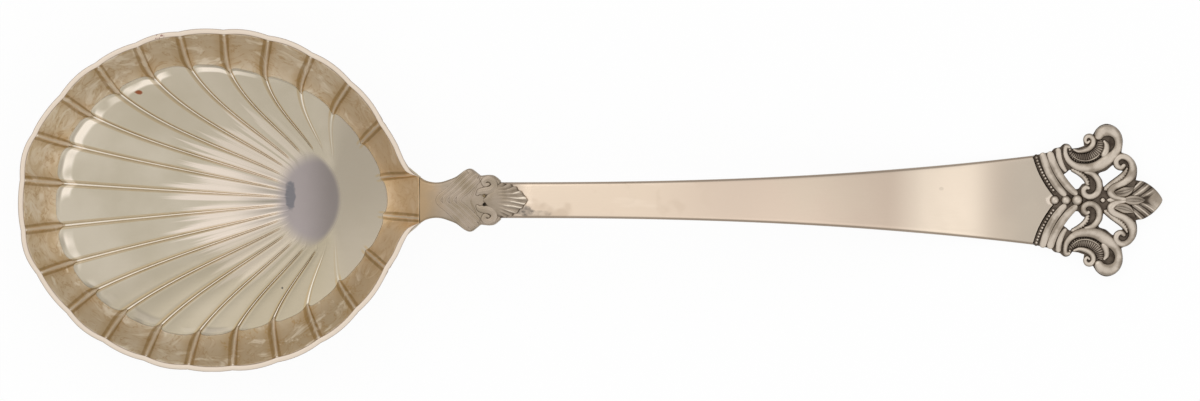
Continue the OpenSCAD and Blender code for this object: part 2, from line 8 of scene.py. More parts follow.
import bpy
import numpy as np
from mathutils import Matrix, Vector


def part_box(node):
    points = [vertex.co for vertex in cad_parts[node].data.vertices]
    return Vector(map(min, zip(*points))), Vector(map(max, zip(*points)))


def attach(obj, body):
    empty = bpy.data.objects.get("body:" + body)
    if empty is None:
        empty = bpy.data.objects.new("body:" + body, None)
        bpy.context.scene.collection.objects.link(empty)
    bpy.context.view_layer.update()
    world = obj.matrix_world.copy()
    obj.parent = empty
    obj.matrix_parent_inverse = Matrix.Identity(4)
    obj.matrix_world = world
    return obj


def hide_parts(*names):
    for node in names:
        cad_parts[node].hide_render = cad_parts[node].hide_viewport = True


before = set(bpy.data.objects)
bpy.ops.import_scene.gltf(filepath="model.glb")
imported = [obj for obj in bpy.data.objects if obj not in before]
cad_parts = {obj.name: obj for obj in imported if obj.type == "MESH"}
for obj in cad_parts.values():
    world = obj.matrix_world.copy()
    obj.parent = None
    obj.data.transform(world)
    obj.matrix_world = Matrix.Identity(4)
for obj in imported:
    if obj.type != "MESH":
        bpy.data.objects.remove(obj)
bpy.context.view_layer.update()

# Bowl. One sheet of silver, raised over a stake into an oval shell with 24 flutes, whose ribs
# run up to a smooth disc near the handle. The rim is filed flat, the foot is worn flat by the
# table, and the wall has kept a gold-brown tarnish that polishing has taken off the bottom.

bowl_len, bowl_w, rim_h = 56, 48, 11
sheet_t, rim_w, rim_round = 0.8, 0.75, 0.16
bottom_rise, rib_h, wear_t, lobe_depth, scallop_depth = 2.2, 0.45, 0.08, 1.1, 0.2
flute_count, flute_lean = 24, 1.5
neck_t, lip_w, neck_slope = 2, 6.4, np.radians(6)
tip_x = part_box("bowl")[0].x * 1000
lip_x = tip_x + bowl_len

rim_shares = [[0, 0], [0.013, 0.29], [0.07, 0.524], [0.153, 0.742], [0.249, 0.88],
    [0.355, 0.97], [0.466, 0.998], [0.579, 0.987], [0.692, 0.914], [0.795, 0.775],
    [0.882, 0.57], [0.948, 0.315], [0.973, 0.165]]
foot_shares = [[0.091, 0], [0.101, 0.245], [0.144, 0.437], [0.206, 0.589], [0.286, 0.7],
    [0.378, 0.776], [0.478, 0.787], [0.571, 0.752], [0.663, 0.694], [0.748, 0.589],
    [0.828, 0.42], [0.89, 0.222], [0.918, 0]]
disc_shares = [[0.667, 0], [0.666, 0.041], [0.665, 0.079], [0.665, 0.119], [0.667, 0.163],
    [0.677, 0.204], [0.697, 0.245], [0.725, 0.28], [0.752, 0.28], [0.775, 0.24],
    [0.792, 0.175], [0.801, 0.092], [0.804, 0]]
disc_mid_share, bottom_mid_share, bottom_half_shares = 0.739, 0.504, (0.413, 0.787)
disc_m = 0.25

# Across a rib: its bell, the groove beside it and the dish between two ribs. Then its half
# width and how that grows, and where ribs and lobes fade towards the handle, in degrees.
rib_bell, groove_off, groove_bell, groove_share, dish_share = 0.55, 1.15, 0.4, 0.3, 0.35
rib_half_start, rib_half_growth, foot_rib_share = 0.1, 0.24, 0.6
lobe_fade, lobe_fade_share, rib_fade = (120, 160), 0.6, (112, 134)


def between(before, start, end, after, t):
    """A Catmull-Rom curve from start to end: half of 2 start + t (end - before) + t squared
    (2 before - 5 start + 4 end - after) + t cubed (3 start - before - 3 end + after)."""
    return (2 * start + t * (end - before) + t**2 * (2 * before - 5 * start + 4 * end - after)
        + t**3 * (3 * start - before - 3 * end + after)) / 2


def quadratic(start, pull, end, t):
    """A curve from start to end that first heads for pull."""
    return (1 - t)**2 * start + 2 * t * (1 - t) * pull + t**2 * end


def scaled(shares, length, half_width, start=0):
    """Shares as places, with a width where there is one."""
    shares = np.array(shares, float)
    n = shares.shape[-1]
    return shares * [length, half_width, half_width][:n] + [start, 0, 0][:n]


def on_bowl(shares):
    return scaled(shares, bowl_len, bowl_w / 2, tip_x)


def ease(low, high, x):
    """Rises from 0 at low to 1 at high as 3 t squared - 2 t cubed."""
    t = np.clip((x - low) / (high - low), 0, 1)
    return t * t * (3 - 2 * t)


def unit(direction):
    return direction / np.linalg.norm(direction, axis=-1, keepdims=True)


def every_15_degrees(shares, angle):
    """The place at an angle of a table with a point every 15 degrees from the bowl's tip, alike
    on both sides."""
    table = on_bowl([[shares[1][0], -shares[1][1]], *shares, [shares[-2][0], -shares[-2][1]]])
    turn = np.abs(angle) / 15
    i = np.minimum(turn.astype(int), len(shares) - 2)
    place = between(table[i], table[i + 1], table[i + 2], table[i + 3], (turn - i)[..., None])
    return place * np.stack([np.ones_like(angle), np.where(angle < 0, -1, 1)], -1)


def flute_phase(angle):
    """0 in the middle of a flute and 1 on a rib."""
    f = (angle + flute_lean) * flute_count / 360
    return 2 * np.abs(f - np.round(f))


def foot_edge(angle):
    """The corner of bottom and wall: the table, drawn in towards the disc at each rib, as the
    phase to the power of 5, so that each flute's bottom ends in a round lobe. The lobes get
    shallow next to the handle."""
    foot, disc = every_15_degrees(foot_shares, angle), every_15_degrees(disc_shares, angle)
    depth = lobe_depth * (1 - lobe_fade_share * ease(*lobe_fade, np.abs(angle)))
    depth = depth * flute_phase(angle)**5
    return foot + unit(disc - foot) * depth[..., None]


def rim_edge(angle):
    """The rim's outer edge: the table, then a quadratic curve into the lip's corner, then a
    straight lip across."""
    last, lip_angle = 15 * (len(rim_shares) - 2), 180 - 180 / flute_count
    turn, side = np.abs(angle), np.where(angle < 0, -1, 1)
    t = np.clip((turn - last) / (lip_angle - last), 0, 1)[..., None]
    run_in = quadratic(*on_bowl(rim_shares[-2:]), np.array([lip_x, lip_w / 2]), t)
    run_in = run_in * np.stack([np.ones_like(side), side], -1)
    lip = np.stack([np.full_like(turn, lip_x),
        side * lip_w / 2 * (180 - turn) / (180 - lip_angle)], -1)
    table = every_15_degrees(rim_shares, np.clip(angle, -last, last))
    return np.where((turn <= last)[..., None], table,
        np.where((turn <= lip_angle)[..., None], run_in, lip))


def toward_foot(angle):
    return unit(foot_edge(angle) - rim_edge(angle))


def lip_share(angle):
    """1 on the lip, 0 on the rim, with a short change between."""
    return ease(180 - 180 / flute_count - 3, 180 - 180 / flute_count, np.abs(angle))


def bowl_base(angle, m):
    """The inner face without ribs. m runs from 0 in the middle of the disc to 1 at the foot of
    the wall and 2 at the rim. Seen from above, the lines over the bottom and up the wall are
    two cubics, which share a direction halfway between theirs at the corner, most of all on the
    left. The bottom is a paraboloid, and the wall's rise is a mean of m - 1 and its square."""
    middle = np.array([tip_x + disc_mid_share * bowl_len, 0])
    disc, foot = every_15_degrees(disc_shares, angle), foot_edge(angle)
    edge = rim_edge(angle) + toward_foot(angle) * rim_w * (1 - lip_share(angle))[..., None]
    mm, run, climb = m[..., None], foot - disc, edge - foot
    run_len, climb_len = (np.linalg.norm(d, axis=-1, keepdims=True) for d in (run, climb))
    shared = unit(run / run_len + climb / climb_len)
    bend = (0.55 + 0.4 * ease(-20, 30, angle))[..., None]
    t, q = np.clip((mm - disc_m) / (1 - disc_m), 0, 1), np.clip(mm - 1, 0, 1)
    plan = np.where(mm <= disc_m, middle + (disc - middle) * mm / disc_m,
        np.where(mm <= 1, disc + run * t + bend * (run_len * shared - run) * (t**3 - t**2),
        foot + climb * (mm - 1) + bend * (climb_len * shared - climb) * (q - 2 * q**2 + q**3)))

    def bottom(p):
        u = (p[..., 0] - tip_x - bottom_mid_share * bowl_len) / (bottom_half_shares[0] * bowl_len)
        v = p[..., 1] / (bottom_half_shares[1] * bowl_w / 2)
        return sheet_t - wear_t + bottom_rise * (u**2 + v**2)

    q = np.clip(m - 1, 0, 1)
    z = np.where(m <= 1, bottom(plan), bottom(foot) + (rim_h - bottom(foot)) * (q + q**2) / 2)
    return np.concatenate([plan, z[..., None]], -1)


def bowl_normal(angle, m):
    """Points out of the inner face, down and away from the sugar."""
    around = bowl_base(angle + 0.5, m) - bowl_base(angle - 0.5, m)
    along = bowl_base(angle, m + 0.1) - bowl_base(angle, m - 0.1)
    return unit(np.cross(along, around))


def off_rib(angle, m):
    """Distance from the nearest rib's middle line, where 1 is the rib's half width. A rib
    widens from the disc to the wall."""
    pitch = np.linalg.norm(bowl_base(angle + 7.5, m) - bowl_base(angle - 7.5, m), axis=-1)
    half = rib_half_start + rib_half_growth * np.minimum(m, 1.3)
    return (1 - flute_phase(angle)) * pitch / 2 / half


def rib_shape(angle, m):
    """Across a flute: a shallow dish, as the square of the phase, with a narrow round rib on
    its border. The rib is a bell curve of the distance, less one for the groove beside it."""
    off = off_rib(angle, m)
    groove = np.exp(-((off - groove_off) / groove_bell)**2)
    rib = np.exp(-(off / rib_bell)**2) - groove_share * groove
    dish = flute_phase(angle)**2
    return (dish_share * dish + (1 - dish_share) * rib) * (1 - lip_share(angle))


def rib_rise(angle, m):
    """How far a rib stands up: from nothing in the disc to 60% at the foot and all near the
    rim, where it dies away. On the bottom it fades out next to the handle."""
    foot = foot_rib_share * (1 - ease(*rib_fade, np.abs(angle)))
    bottom = foot * ease(disc_m - 0.04, disc_m + 0.1, m) * (0.55 + 0.45 * m)
    rise = np.where(m <= 1, bottom, foot + (1 - foot) * (m - 1))
    return rib_h * rise * (1 - 0.75 * ease(1.8, 2, m))


def bowl_rings():
    """Rings from the disc's middle over the inner face, the rim and the outer face, and back
    under the disc."""
    per_flute, bunching = 20, 0.11
    t = np.arange(flute_count * per_flute) / per_flute
    warped = t + bunching * np.sin(2 * np.pi * t)
    angle = (warped * 360 / flute_count - flute_lean + 180) % 360 - 180
    angle = np.roll(angle, -int(np.argmin(angle)))
    m = np.concatenate([np.linspace(0.02, 0.2, 7), np.linspace(0.22, 0.4, 14),
        np.linspace(0.43, 0.88, 20), np.linspace(0.9, 1.1, 24), np.linspace(1.14, 1.985, 32)])
    a, mm = np.meshgrid(angle, m)
    n, rib = bowl_normal(a, np.clip(mm, 0.12, 1.9)), rib_shape(a, mm) * rib_rise(a, mm)
    inner = bowl_base(a, mm) - n * rib[..., None]

    notch, d = scallop_depth * flute_phase(angle)**2, toward_foot(angle)

    def rim(inward, z):
        """A ring of the rim, so far inward of its outer edge."""
        p = rim_edge(angle) + d * ((notch + inward) * (1 - lip_share(angle)))[:, None]
        return np.concatenate([p, np.full((len(angle), 1), z)], -1)

    r = rim_round
    rims = [rim(rim_w - 0.02, rim_h - r), rim(rim_w - r * 0.3, rim_h - r * 0.3),
        rim(rim_w - r, rim_h), rim(rim_w / 2, rim_h), rim(r, rim_h),
        rim(r * 0.3, rim_h - r * 0.3), rim(0, rim_h - r)]
    m_out = np.concatenate([np.linspace(1.97, 1.2, 18), np.linspace(1.15, 0.85, 10),
        np.linspace(0.8, 0.03, 16)])
    a, mo = np.meshgrid(angle, m_out)
    n = bowl_normal(a, np.clip(mo, 0.12, 1.9))
    outer = bowl_base(a, mo) + n * (sheet_t - rib_shape(a, mo) * rib_rise(a, mo))[..., None]
    thick = np.concatenate([rim_edge(angle) + [neck_t * np.sin(neck_slope), 0],
        np.full((len(angle), 1), rim_h - neck_t * np.cos(neck_slope))], -1)
    share = (lip_share(angle) * ease(1.72, 1.97, m_out)[:, None])[..., None]
    outer = outer * (1 - share) + thick * share
    rings = np.concatenate([inner, np.array(rims), outer])
    rings[..., 2] = np.maximum(rings[..., 2], 0)
    rings[..., 0] = np.maximum(rings[..., 0], tip_x)
    rings[..., 1] = np.clip(rings[..., 1], *(corner.y * 1000 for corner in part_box("bowl")))
    height = np.concatenate([m, np.linspace(2.1, 2.4, len(rims)), np.full(len(m_out), 3)])
    far = np.full((len(rims) + len(m_out), len(angle)), 9.0)
    off = np.concatenate([np.minimum(off_rib(*np.meshgrid(angle, m)), 9), far])
    return rings, {"height": height[:, None], "turn": angle, "side": np.abs(angle), "off_rib": off}


def lofted(rings, marks):
    """Faces over a stack of closed rings, with a fan at each end, and the marks of all points.
    Where the enclosed volume comes out below zero, the corners' order is turned round."""
    n, k = rings.shape[:2]
    points = np.concatenate([rings.reshape(-1, 3), rings[:1].mean(1), rings[-1:].mean(1)])
    i, j = np.meshgrid(np.arange(n - 1), np.arange(k), indexing="ij")
    near, far, j = i * k + j, i * k + (j + 1) % k, j[0]
    quads = np.stack([near, far, far + k, near + k], -1).reshape(-1, 4)
    last = (n - 1) * k
    fans = np.concatenate([np.stack([np.full(k, n * k), (j + 1) % k, j], -1),
        np.stack([np.full(k, n * k + 1), last + j, last + (j + 1) % k], -1)])
    a, b, c, d = (points[quads[:, q]] for q in range(4))
    volume = (np.sum(a * np.cross(b, c)) + np.sum(a * np.cross(c, d))
        + np.sum(points[fans[:, 0]] * np.cross(points[fans[:, 1]], points[fans[:, 2]])))
    if volume < 0:
        quads, fans = quads[:, ::-1], fans[:, ::-1]
    marks = {name: np.broadcast_to(value, (n, k)) for name, value in marks.items()}
    return points, quads, fans, {name: np.concatenate([value.ravel(), value[:1].mean(1),
        value[-1:].mean(1)]) for name, value in marks.items()}


def piece(name, parts, material, slot, *nodes):
    """Makes one mesh of lofted parts, in metres, with each mark as a number on its points. The
    piece stands for the nodes that it names."""
    points, quads, fans, start = [], [], [], 0
    for part_points, part_quads, part_fans, _ in parts:
        points.append(part_points)
        quads.append(part_quads + start)
        fans.append(part_fans + start)
        start += len(part_points)
    points, quads, fans = np.concatenate(points), np.concatenate(quads), np.concatenate(fans)
    mesh = bpy.data.meshes.new(name)
    mesh.vertices.add(len(points))
    mesh.vertices.foreach_set("co", (points * 0.001).astype(np.float32).ravel())
    mesh.loops.add(quads.size + fans.size)
    mesh.loops.foreach_set("vertex_index", np.concatenate([quads.ravel(), fans.ravel()]))
    mesh.polygons.add(len(quads) + len(fans))
    mesh.polygons.foreach_set("loop_start", np.concatenate([np.arange(len(quads)) * 4,
        quads.size + np.arange(len(fans)) * 3]))
    for key in parts[0][3]:
        values = np.concatenate([part[3][key] for part in parts]).astype(np.float32)
        mesh.attributes.new(key, "FLOAT", "POINT").data.foreach_set("value", values)
    mesh.update(calc_edges=True)
    mesh.validate()
    mesh.shade_smooth()
    mesh.materials.append(material)
    made = bpy.data.objects.new(name, mesh)
    bpy.context.scene.collection.objects.link(made)
    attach(made, "root")
    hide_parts(*nodes)


class Link:
    """One output socket of a node tree. Operators on it and on numbers add Math nodes."""

    def __init__(self, tree, output):
        self.tree, self.output = tree, output

    def node(self, kind, inputs, result=0, **settings):
        """Adds a node of that kind: first its settings, then the value or link of each
        socket."""
        made = self.tree.nodes.new(kind)
        for name, value in settings.items():
            setattr(made, name, value)
        for socket, value in inputs.items():
            if isinstance(value, Link):
                self.tree.links.new(value.output, made.inputs[socket])
            else:
                made.inputs[socket].default_value = value
        return Link(self.tree, made.outputs[result])

    def math(self, operation, *values):
        return self.node("ShaderNodeMath", dict(enumerate(values)), operation=operation)

    def __add__(self, other):
        return self.math("ADD", self, other)

    __radd__ = __add__

    def __mul__(self, other):
        return self.math("MULTIPLY", self, other)

    __rmul__ = __mul__

    def __sub__(self, other):
        return self.math("SUBTRACT", self, other)

    def __rsub__(self, other):
        return self.math("SUBTRACT", other, self)

    def __abs__(self):
        return self.math("ABSOLUTE", self)

    def rises(self, low, high):
        """0 below low and 1 above high, with a smooth change."""
        return self.node("ShaderNodeMapRange", {0: self, 1: low, 2: high, 3: 0.0, 4: 1.0},
            interpolation_type="SMOOTHSTEP")

    def band(self, low, high, soft):
        """1 from low to high, fading over soft on both sides."""
        return self.rises(low - soft, low) * (1 - self.rises(high, high + soft))

    def tint(self, under, over):
        """The colour under where this is 0, and over where it is 1."""
        def full(c):
            return c if isinstance(c, Link) else (*colour(c), 1)
        return self.node("ShaderNodeMix", {0: self, 6: full(under), 7: full(over)}, result=2,
            data_type="RGBA")

    def mark(self, name):
        """A number that the mesh carries on its points."""
        return self.node("ShaderNodeAttribute", {}, result=2, attribute_name=name)

    def part(self, axis):
        """One coordinate of this vector: 0, 1 and 2 are x, y and z."""
        return self.node("ShaderNodeSeparateXYZ", {0: self}, result=axis)

    def noise(self, scale, detail=3, rough=0.55, twist=0.0):
        return self.node("ShaderNodeTexNoise", {"Vector": self, "Scale": scale,
            "Detail": float(detail), "Roughness": rough, "Distortion": twist})

    def stretched(self, factors, turn=0.0):
        return self.node("ShaderNodeMapping", {"Vector": self, "Rotation": (0, 0, turn),
            "Scale": factors})

    def spot(self, middle, half, ragged=0.0):
        """1 in an oval around a place in plan, in millimetres, and 0 outside it. Noise makes
        its edge ragged."""
        moved = self.node("ShaderNodeMapping", {"Vector": self,
            "Location": (-middle[0] / half[0], -middle[1] / half[1], 0),
            "Scale": (1000 / half[0], 1000 / half[1], 0)})
        far = self.node("ShaderNodeVectorMath", {0: moved}, result=1, operation="LENGTH")
        if ragged:
            far = far + ragged * (self.noise(1500.0, 3) - 0.5)
        return 1 - far.rises(0.75, 1.15)


def colour(code):
    """The linear colour of a six-figure screen colour."""
    c = np.array([int(code[i:i + 2], 16) / 255 for i in (0, 2, 4)])
    return tuple(float(x) for x in np.where(c <= 0.04045, c / 12.92, ((c + 0.055) / 1.055)**2.4))


def layered(base, *layers):
    """The base colour under layers. Each is a share, and the colour that it brings."""
    for share, over in layers:
        base = share.tint(base, over)
    return base


def new_metal(name):
    """A material and its Object coordinates."""
    material = bpy.data.materials.new(name)
    material.use_nodes = True
    return material, Link(material.node_tree, None).node("ShaderNodeTexCoord", {}, result=3)


def finished(material, base, rough, bump, depth):
    """Gives the material's Principled shader the base colour, the roughness and a bump."""
    shader = next(n for n in material.node_tree.nodes if n.type == "BSDF_PRINCIPLED")
    shader.inputs["Metallic"].default_value = 1.0
    normal = bump.node("ShaderNodeBump", {"Strength": 1.0, "Distance": depth, "Height": bump})
    for link, socket in ((base, "Base Color"), (rough, "Roughness"), (normal, "Normal")):
        link.tree.links.new(link.output, shader.inputs[socket])
    return material


def wall_tones(place, swirl, off, side, lower):
    """Gold-brown tarnish in swirls with thin brown veins, darker on both long sides and most on
    the lower one. Painted shade darkens it next to the ribs, and pale patches are painted
    highlights. It is most golden by the handle."""
    curl = place.noise(190.0, 3, 0.6, 2.2)
    vein = (1 - abs(curl - 0.5).rises(0.0, 0.03)) * swirl.rises(0.35, 0.55)
    return layered(swirl.rises(0.34, 0.66).tint("FFF6E6", "E9D8BA"),
        (side.band(50, 150, 30) * 0.6, "E2D6C4"),
        (side.band(105, 145, 25) * lower * 0.55, "C9B594"),
        (place.noise(60.0, 2, 0.5, 0.8).rises(0.42, 0.65) * 0.5, "DCCBB0"),
        # Painted shade next to the ribs.
        ((1 - off.rises(1.2, 4.5)) * 0.45, "CCB184"),
        (vein * 0.5, "C4A066"),
        # Painted highlights: pale patches.
        (curl.rises(0.54, 0.68) * 0.8, "FFF8EC"),
        (side.rises(135, 175) * 0.55, "FFDEB0"))


def bowl_silver():
    """Grey silver in the flutes with a streaked bright fan beside the disc that is a painted
    highlight, a dull disc painted dark as a reflection, a greyer crescent towards the handle, a
    pale painted highlight and a grey painted shade line where the flutes turn up, and the wall's
    tarnish. Brown lines of tarnish and painted shade lie beside the ribs, a painted highlight on
    their crests, and painted shade on the rim's rounded edges."""
    material, place = new_metal("bowl_silver")
    m, off, turn, side = (place.mark(name) for name in ("height", "off_rib", "turn", "side"))
    cloud, swirl = place.noise(110.0, 4), place.noise(330.0, 5, 0.65, 1.6)
    fan_highlight_streak = turn.node("ShaderNodeTexNoise", {"W": turn * 0.17, "Scale": 1.0, "Detail": 3.0},
        noise_dimensions="1D")
    # Painted highlight: a bright fan in streaks beside the disc.
    fan = (1 - (m - (0.3 + 0.55 * fan_highlight_streak)).rises(-0.06, 0.03)) * (1 - side.rises(70, 115))
    toward_handle, lower, wall = side.rises(132, 152), 1 - turn.rises(-50, -20), m.rises(1.0, 1.03)
    fade = place.noise(210.0, 1)
    # Painted highlight and painted shade where each flute turns up into the wall: a pale line, a
    # grey line beyond it, and grey hooks on the lower side.
    corner_highlight = m.band(0.962, 0.98, 0.012) * fade.rises(0.38, 0.55) * (1 - side.rises(85, 120))
    grey = m.band(0.988, 1.002, 0.006) * (1 - side.rises(110, 140)) * fade.rises(0.4, 0.6)
    corner_hook_shade = m.band(0.955, 1.0, 0.02) * fade.rises(0.42, 0.55) * lower * (1 - side.rises(110, 135))
    on_rib = m.rises(disc_m + 0.02, disc_m + 0.3) * (1 - toward_handle * (1 - m.rises(0.88, 0.95)))
    # Brown lines in the grooves beside the ribs are tarnish and painted shade, and the pale line on
    # each rib's crest is a painted highlight.
    brown = off.band(0.85, 1.4, 0.4) * on_rib
    crest = (1 - off.rises(0.15, 0.5)) * on_rib * (1 - toward_handle * (1 - wall))
    # The dark disc, shaded from left to right, the dark crescent at its left and the darker troughs
    # beside it are a painted reflection.
    painted_crescent_by_disc = (1 - m.rises(disc_m + 0.03, disc_m + 0.2)) * (1 - side.rises(20, 60))
    hard_edge = place.spot((-43.0, 0.1), (8.1, 8.1)).rises(0.3, 0.7)
    disc = hard_edge * place.spot((-38.4, 0.1), (5.7, 6.5)) * (1 - m.rises(0.6, 0.75))
    shade = (place.part(0) + 0.002 * (cloud - 0.5)).rises(-0.0415, -0.036)
    pits = place.noise(2600.0, 1).rises(0.56, 0.66)
    base = layered(cloud.rises(0.3, 0.7).tint("C2B8A6", "B6AC98"),
        (fan * fan_highlight_streak.rises(0.3, 0.5) * 0.85, "E4D6C8"),
        (toward_handle * 0.8, "9E9484"),
        (side.band(60, 125, 35) * (0.3 + 0.3 * lower), "A0957F"),
        (side.band(105, 130, 20) * lower * 0.45, "9C917B"),
        (corner_highlight * (0.9 - 0.7 * lower), "F0E4D4"),
        (grey * (0.5 + 0.3 * lower), "8A8172"),
        (corner_hook_shade * 0.6, "91887A"),
        (wall, wall_tones(place, swirl, off, side, lower)),
        (brown * (0.3 + 0.45 * swirl + 0.1 * wall), wall.tint("A58D63", "AC8B55")),
        (crest * 0.75, "EEE4D6"),
        # Painted reflection: the troughs beside the disc, the disc and the crescent at its left.
        (off.rises(1.2, 2.6) * painted_crescent_by_disc * 0.55, "6F6B64"),
        (disc, shade.tint("9D9492", "827A76")),
        (place.spot((-42.2, 0.6), (0.75, 2.0), 0.9) * 0.7, "62646A"),
        (place.spot((-63.4, 15.1), (0.55, 0.3), 1.2), "8A5236"),
        (place.spot((-43.3, -12.3), (0.14, 0.14)), "4E4B45"),
        # Painted shade on the rim's rounded edges, around its paler flat top.
        (m.rises(2.03, 2.07), m.band(2.17, 2.33, 0.06).tint("A08B79", "DED0C0")),
        (place.spot((-61.1, 22.9), (1.5, 0.6)) * pits * 0.8, "8C5E58"),
        (m.rises(2.5, 2.7), cloud.rises(0.45, 0.7).tint("CFC5B4", "C6B48F")))
    rough = 0.2 + 0.08 * cloud + 0.26 * wall + 0.12 * disc
    fine = place.noise(900.0, 3)
    scratch = place.stretched((260, 2600, 900), 0.3).noise(1.0, 2)
    bump = 0.5 * fine + 0.5 * scratch + 0.8 * wall * swirl
    return finished(material, base, rough, bump, 0.00001)


piece("fluted_bowl", [lofted(*bowl_rings())], bowl_silver(), "bowl_silver", "bowl")

# Stem. A flat strip, forged thin towards the finial and bent into a long arch, with its edges
# rounded by the file. It is lapped and soldered to the neck, and butts with a pointed tongue
# against the finial.

neck_len, stem_len, finial_len, finial_w = 11.3, 74.7, 18.1, 21.4
plate_t, lap_len, upturn_r, flat_len = 1.3, 3.9, 32, 3.5
stem_start_w, stem_end_w, stem_flare = 5, 12.5, 2.45
stem_round, stem_crown, stem_crown_half_w, stem_edge_w = 0.42, 0.1, 6, 0.5
seam_pull_shares, seam_tip_share = [0.042, 0.288], 0.193
stem_x = lip_x + neck_len * np.cos(neck_slope)
finial_x = stem_x + stem_len


def on_finial(shares):
    return scaled(shares, finial_len, finial_w / 2, finial_x)


def stem_line():
    """Top of the stem seen from the side, as x, z and slope: straight under the leaf, an arc
    down, an arc up, and flat on the table. The two arcs meet without a kink."""
    reach = neck_len + lap_len + sheet_t
    start = np.array([lip_x + reach * np.cos(neck_slope), rim_h + reach * np.sin(neck_slope)])
    flat = np.array([finial_x - flat_len, plate_t])
    run, drop = flat[0] - start[0], start[1] - flat[1]
    r = ((run**2 + drop**2 - 2 * upturn_r * drop)
        / (2 * (upturn_r + run * np.sin(neck_slope) - (upturn_r - drop) * np.cos(neck_slope))))
    centre = start + r * np.array([np.sin(neck_slope), -np.cos(neck_slope)])
    end_slope = np.arcsin((flat[0] - centre[0]) / (r + upturn_r))
    s = np.linspace(neck_slope, -end_slope, 90)
    arch = np.stack([centre[0] - r * np.sin(s), centre[1] + r * np.cos(s), s], -1)
    s = np.linspace(-end_slope, 0, 40)[1:]
    up = np.stack([flat[0] + upturn_r * np.sin(s),
        flat[1] + upturn_r - upturn_r * np.cos(s), s], -1)
    first = [[stem_x, rim_h + neck_len * np.sin(neck_slope), neck_slope]]
    tongue_tip = on_finial([seam_tip_share, 0])[0]
    flat_run = np.linspace(flat[0], tongue_tip, 60)[1:-1]
    level = np.stack([flat_run, np.full(58, plate_t), np.zeros(58)], -1)
    return np.concatenate([first, arch, up, level])


def seam(t):
    """The tongue's edge, from the stem's corner to the tongue's tip, and its direction."""
    corner, pull = np.array([finial_x, stem_end_w / 2]), on_finial(seam_pull_shares)
    tip, t = on_finial([seam_tip_share, 0]), t[:, None]
    return quadratic(corner, pull, tip, t), 2 * (1 - t) * (pull - corner) + 2 * t * (tip - pull)


def seam_half_width(x):
    place, _ = seam(np.linspace(0, 1, 200))
    return np.interp(x, place[:, 0], place[:, 1])


def oblong_top(half, r, count):
    """Across the top of an oblong whose corners are quarter turns: each point's place, and how
    far it sinks below the middle."""
    corner, v = np.radians([0, 22.5, 45, 67.5, 90]), np.linspace(1, -1, count)[1:-1]
    core, out, drop = half - r, r * np.cos(corner), r * (1 - np.sin(corner))
    return (np.concatenate([core + out, core * v, -core - out[:, ::-1]], 1),
        np.concatenate([drop, 0 * core * v, drop[:, ::-1]], 1))


def stem_rings():
    """A rounded oblong carried along the stem's line. Its top is crowned as 1 - v squared, in
    proportion to its width. One mark is 1 at an edge and 0 half a millimetre inside, and the
    other is 1 on top and 0 underneath."""
    x, z, slope = stem_line().T
    f = np.clip((x - stem_x) / stem_len, 0, 1)
    half = (stem_start_w + (stem_end_w - stem_start_w) * f**stem_flare) / 2
    half = np.where(x > finial_x, np.maximum(seam_half_width(x), 0.02), half)[:, None]
    thick = (neck_t + (plate_t - neck_t) * f)[:, None]
    y, sink = oblong_top(half, np.minimum(stem_round, half * 0.8), 24)
    crown = stem_crown * half / stem_crown_half_w * (y / half)**2
    down = np.concatenate([np.minimum(sink + crown, 0.4 * thick),
        thick - np.minimum(sink, 0.6 * thick)[:, ::-1] * 0.8], 1)
    y = np.concatenate([y, y[:, ::-1]], 1)
    rings = np.stack([x[:, None] + down * np.sin(slope)[:, None], y,
        np.maximum(z[:, None] - down * np.cos(slope)[:, None], 0)], -1)
    above = np.repeat([1.0, 0.0], y.shape[1] // 2)
    edge = 1 - np.clip((half - np.abs(y)) / stem_edge_w, 0, 1)
    return rings, {"edge": edge, "above": above}


def stem_silver():
    """Warm and pinkish by the leaf, brightest before the finial and grey at its end, with
    dents, a painted shadow of the leaf beside it, painted highlight streaks by the leaf, long
    fine scratches, and painted shade along its rounded edges."""
    material, place = new_metal("stem_silver")
    x = place.part(0)
    cloud, dent = place.noise(60.0, 3), place.noise(230.0, 2)
    left_part = 1 - x.rises(0.002, 0.02)
    hollow = dent.rises(0.54, 0.66) * left_part
    # Painted highlight: long pale streaks on the stem by the leaf.
    stem_highlight_streaks = place.stretched((90, 420, 90), 0.2).noise(1.0, 2).rises(0.5, 0.7)
    # Painted shadow of the leaf, mottled, on the top beside its lower edge.
    sooty = place.noise(1300.0, 3).rises(0.3, 0.7)
    leaf_shadow = place.spot((-9.5, -1.5), (1.5, 0.75), 0.9) * (0.35 + 0.5 * sooty)
    leaf_shadow = leaf_shadow + place.spot((-7.9, -1.95), (2.3, 0.5), 1.3) * (0.15 + 0.2 * sooty)
    base = layered(x.rises(0.004, 0.022).tint("E2CFBA", "D3C0AE"),
        (x.rises(0.028, 0.038) * 0.8, "C7B5A4"),
        (x.band(0.047, 0.053, 0.006) * 0.95, "E9D9C6"),
        (x.rises(0.052, 0.0615), "BAAE9F"),
        (cloud.rises(0.5, 0.72) * 0.4, "D0C2AF"),
        (hollow * 0.45, "BCA68F"),
        (stem_highlight_streaks * left_part * 0.5, "F4E4D2"),
        (leaf_shadow * place.mark("above").rises(0.4, 0.6), "69625C"),
        (place.spot((49, 1.6), (0.35, 0.25)) * 0.25, "A89C8C"),
        (place.spot((64.5, 0), (0.9, 0.7), 1.6) * 0.6, "EBDDCE"),
        # Painted shade along the stem's rounded edges.
        (place.mark("edge").rises(0.12, 0.62) * 0.85, "988878"))
    scratch = place.stretched((300, 5200, 800), 0.12).noise(1.0, 2)
    fine = place.noise(1400.0, 2)
    rough = 0.22 + 0.1 * cloud + 0.08 * scratch
    return finished(material, base, rough, 0.6 * scratch + 0.4 * fine - 1.5 * hollow, 0.000014)


piece("stem_strip", [lofted(*stem_rings())], stem_silver(), "stem_silver", "stem")

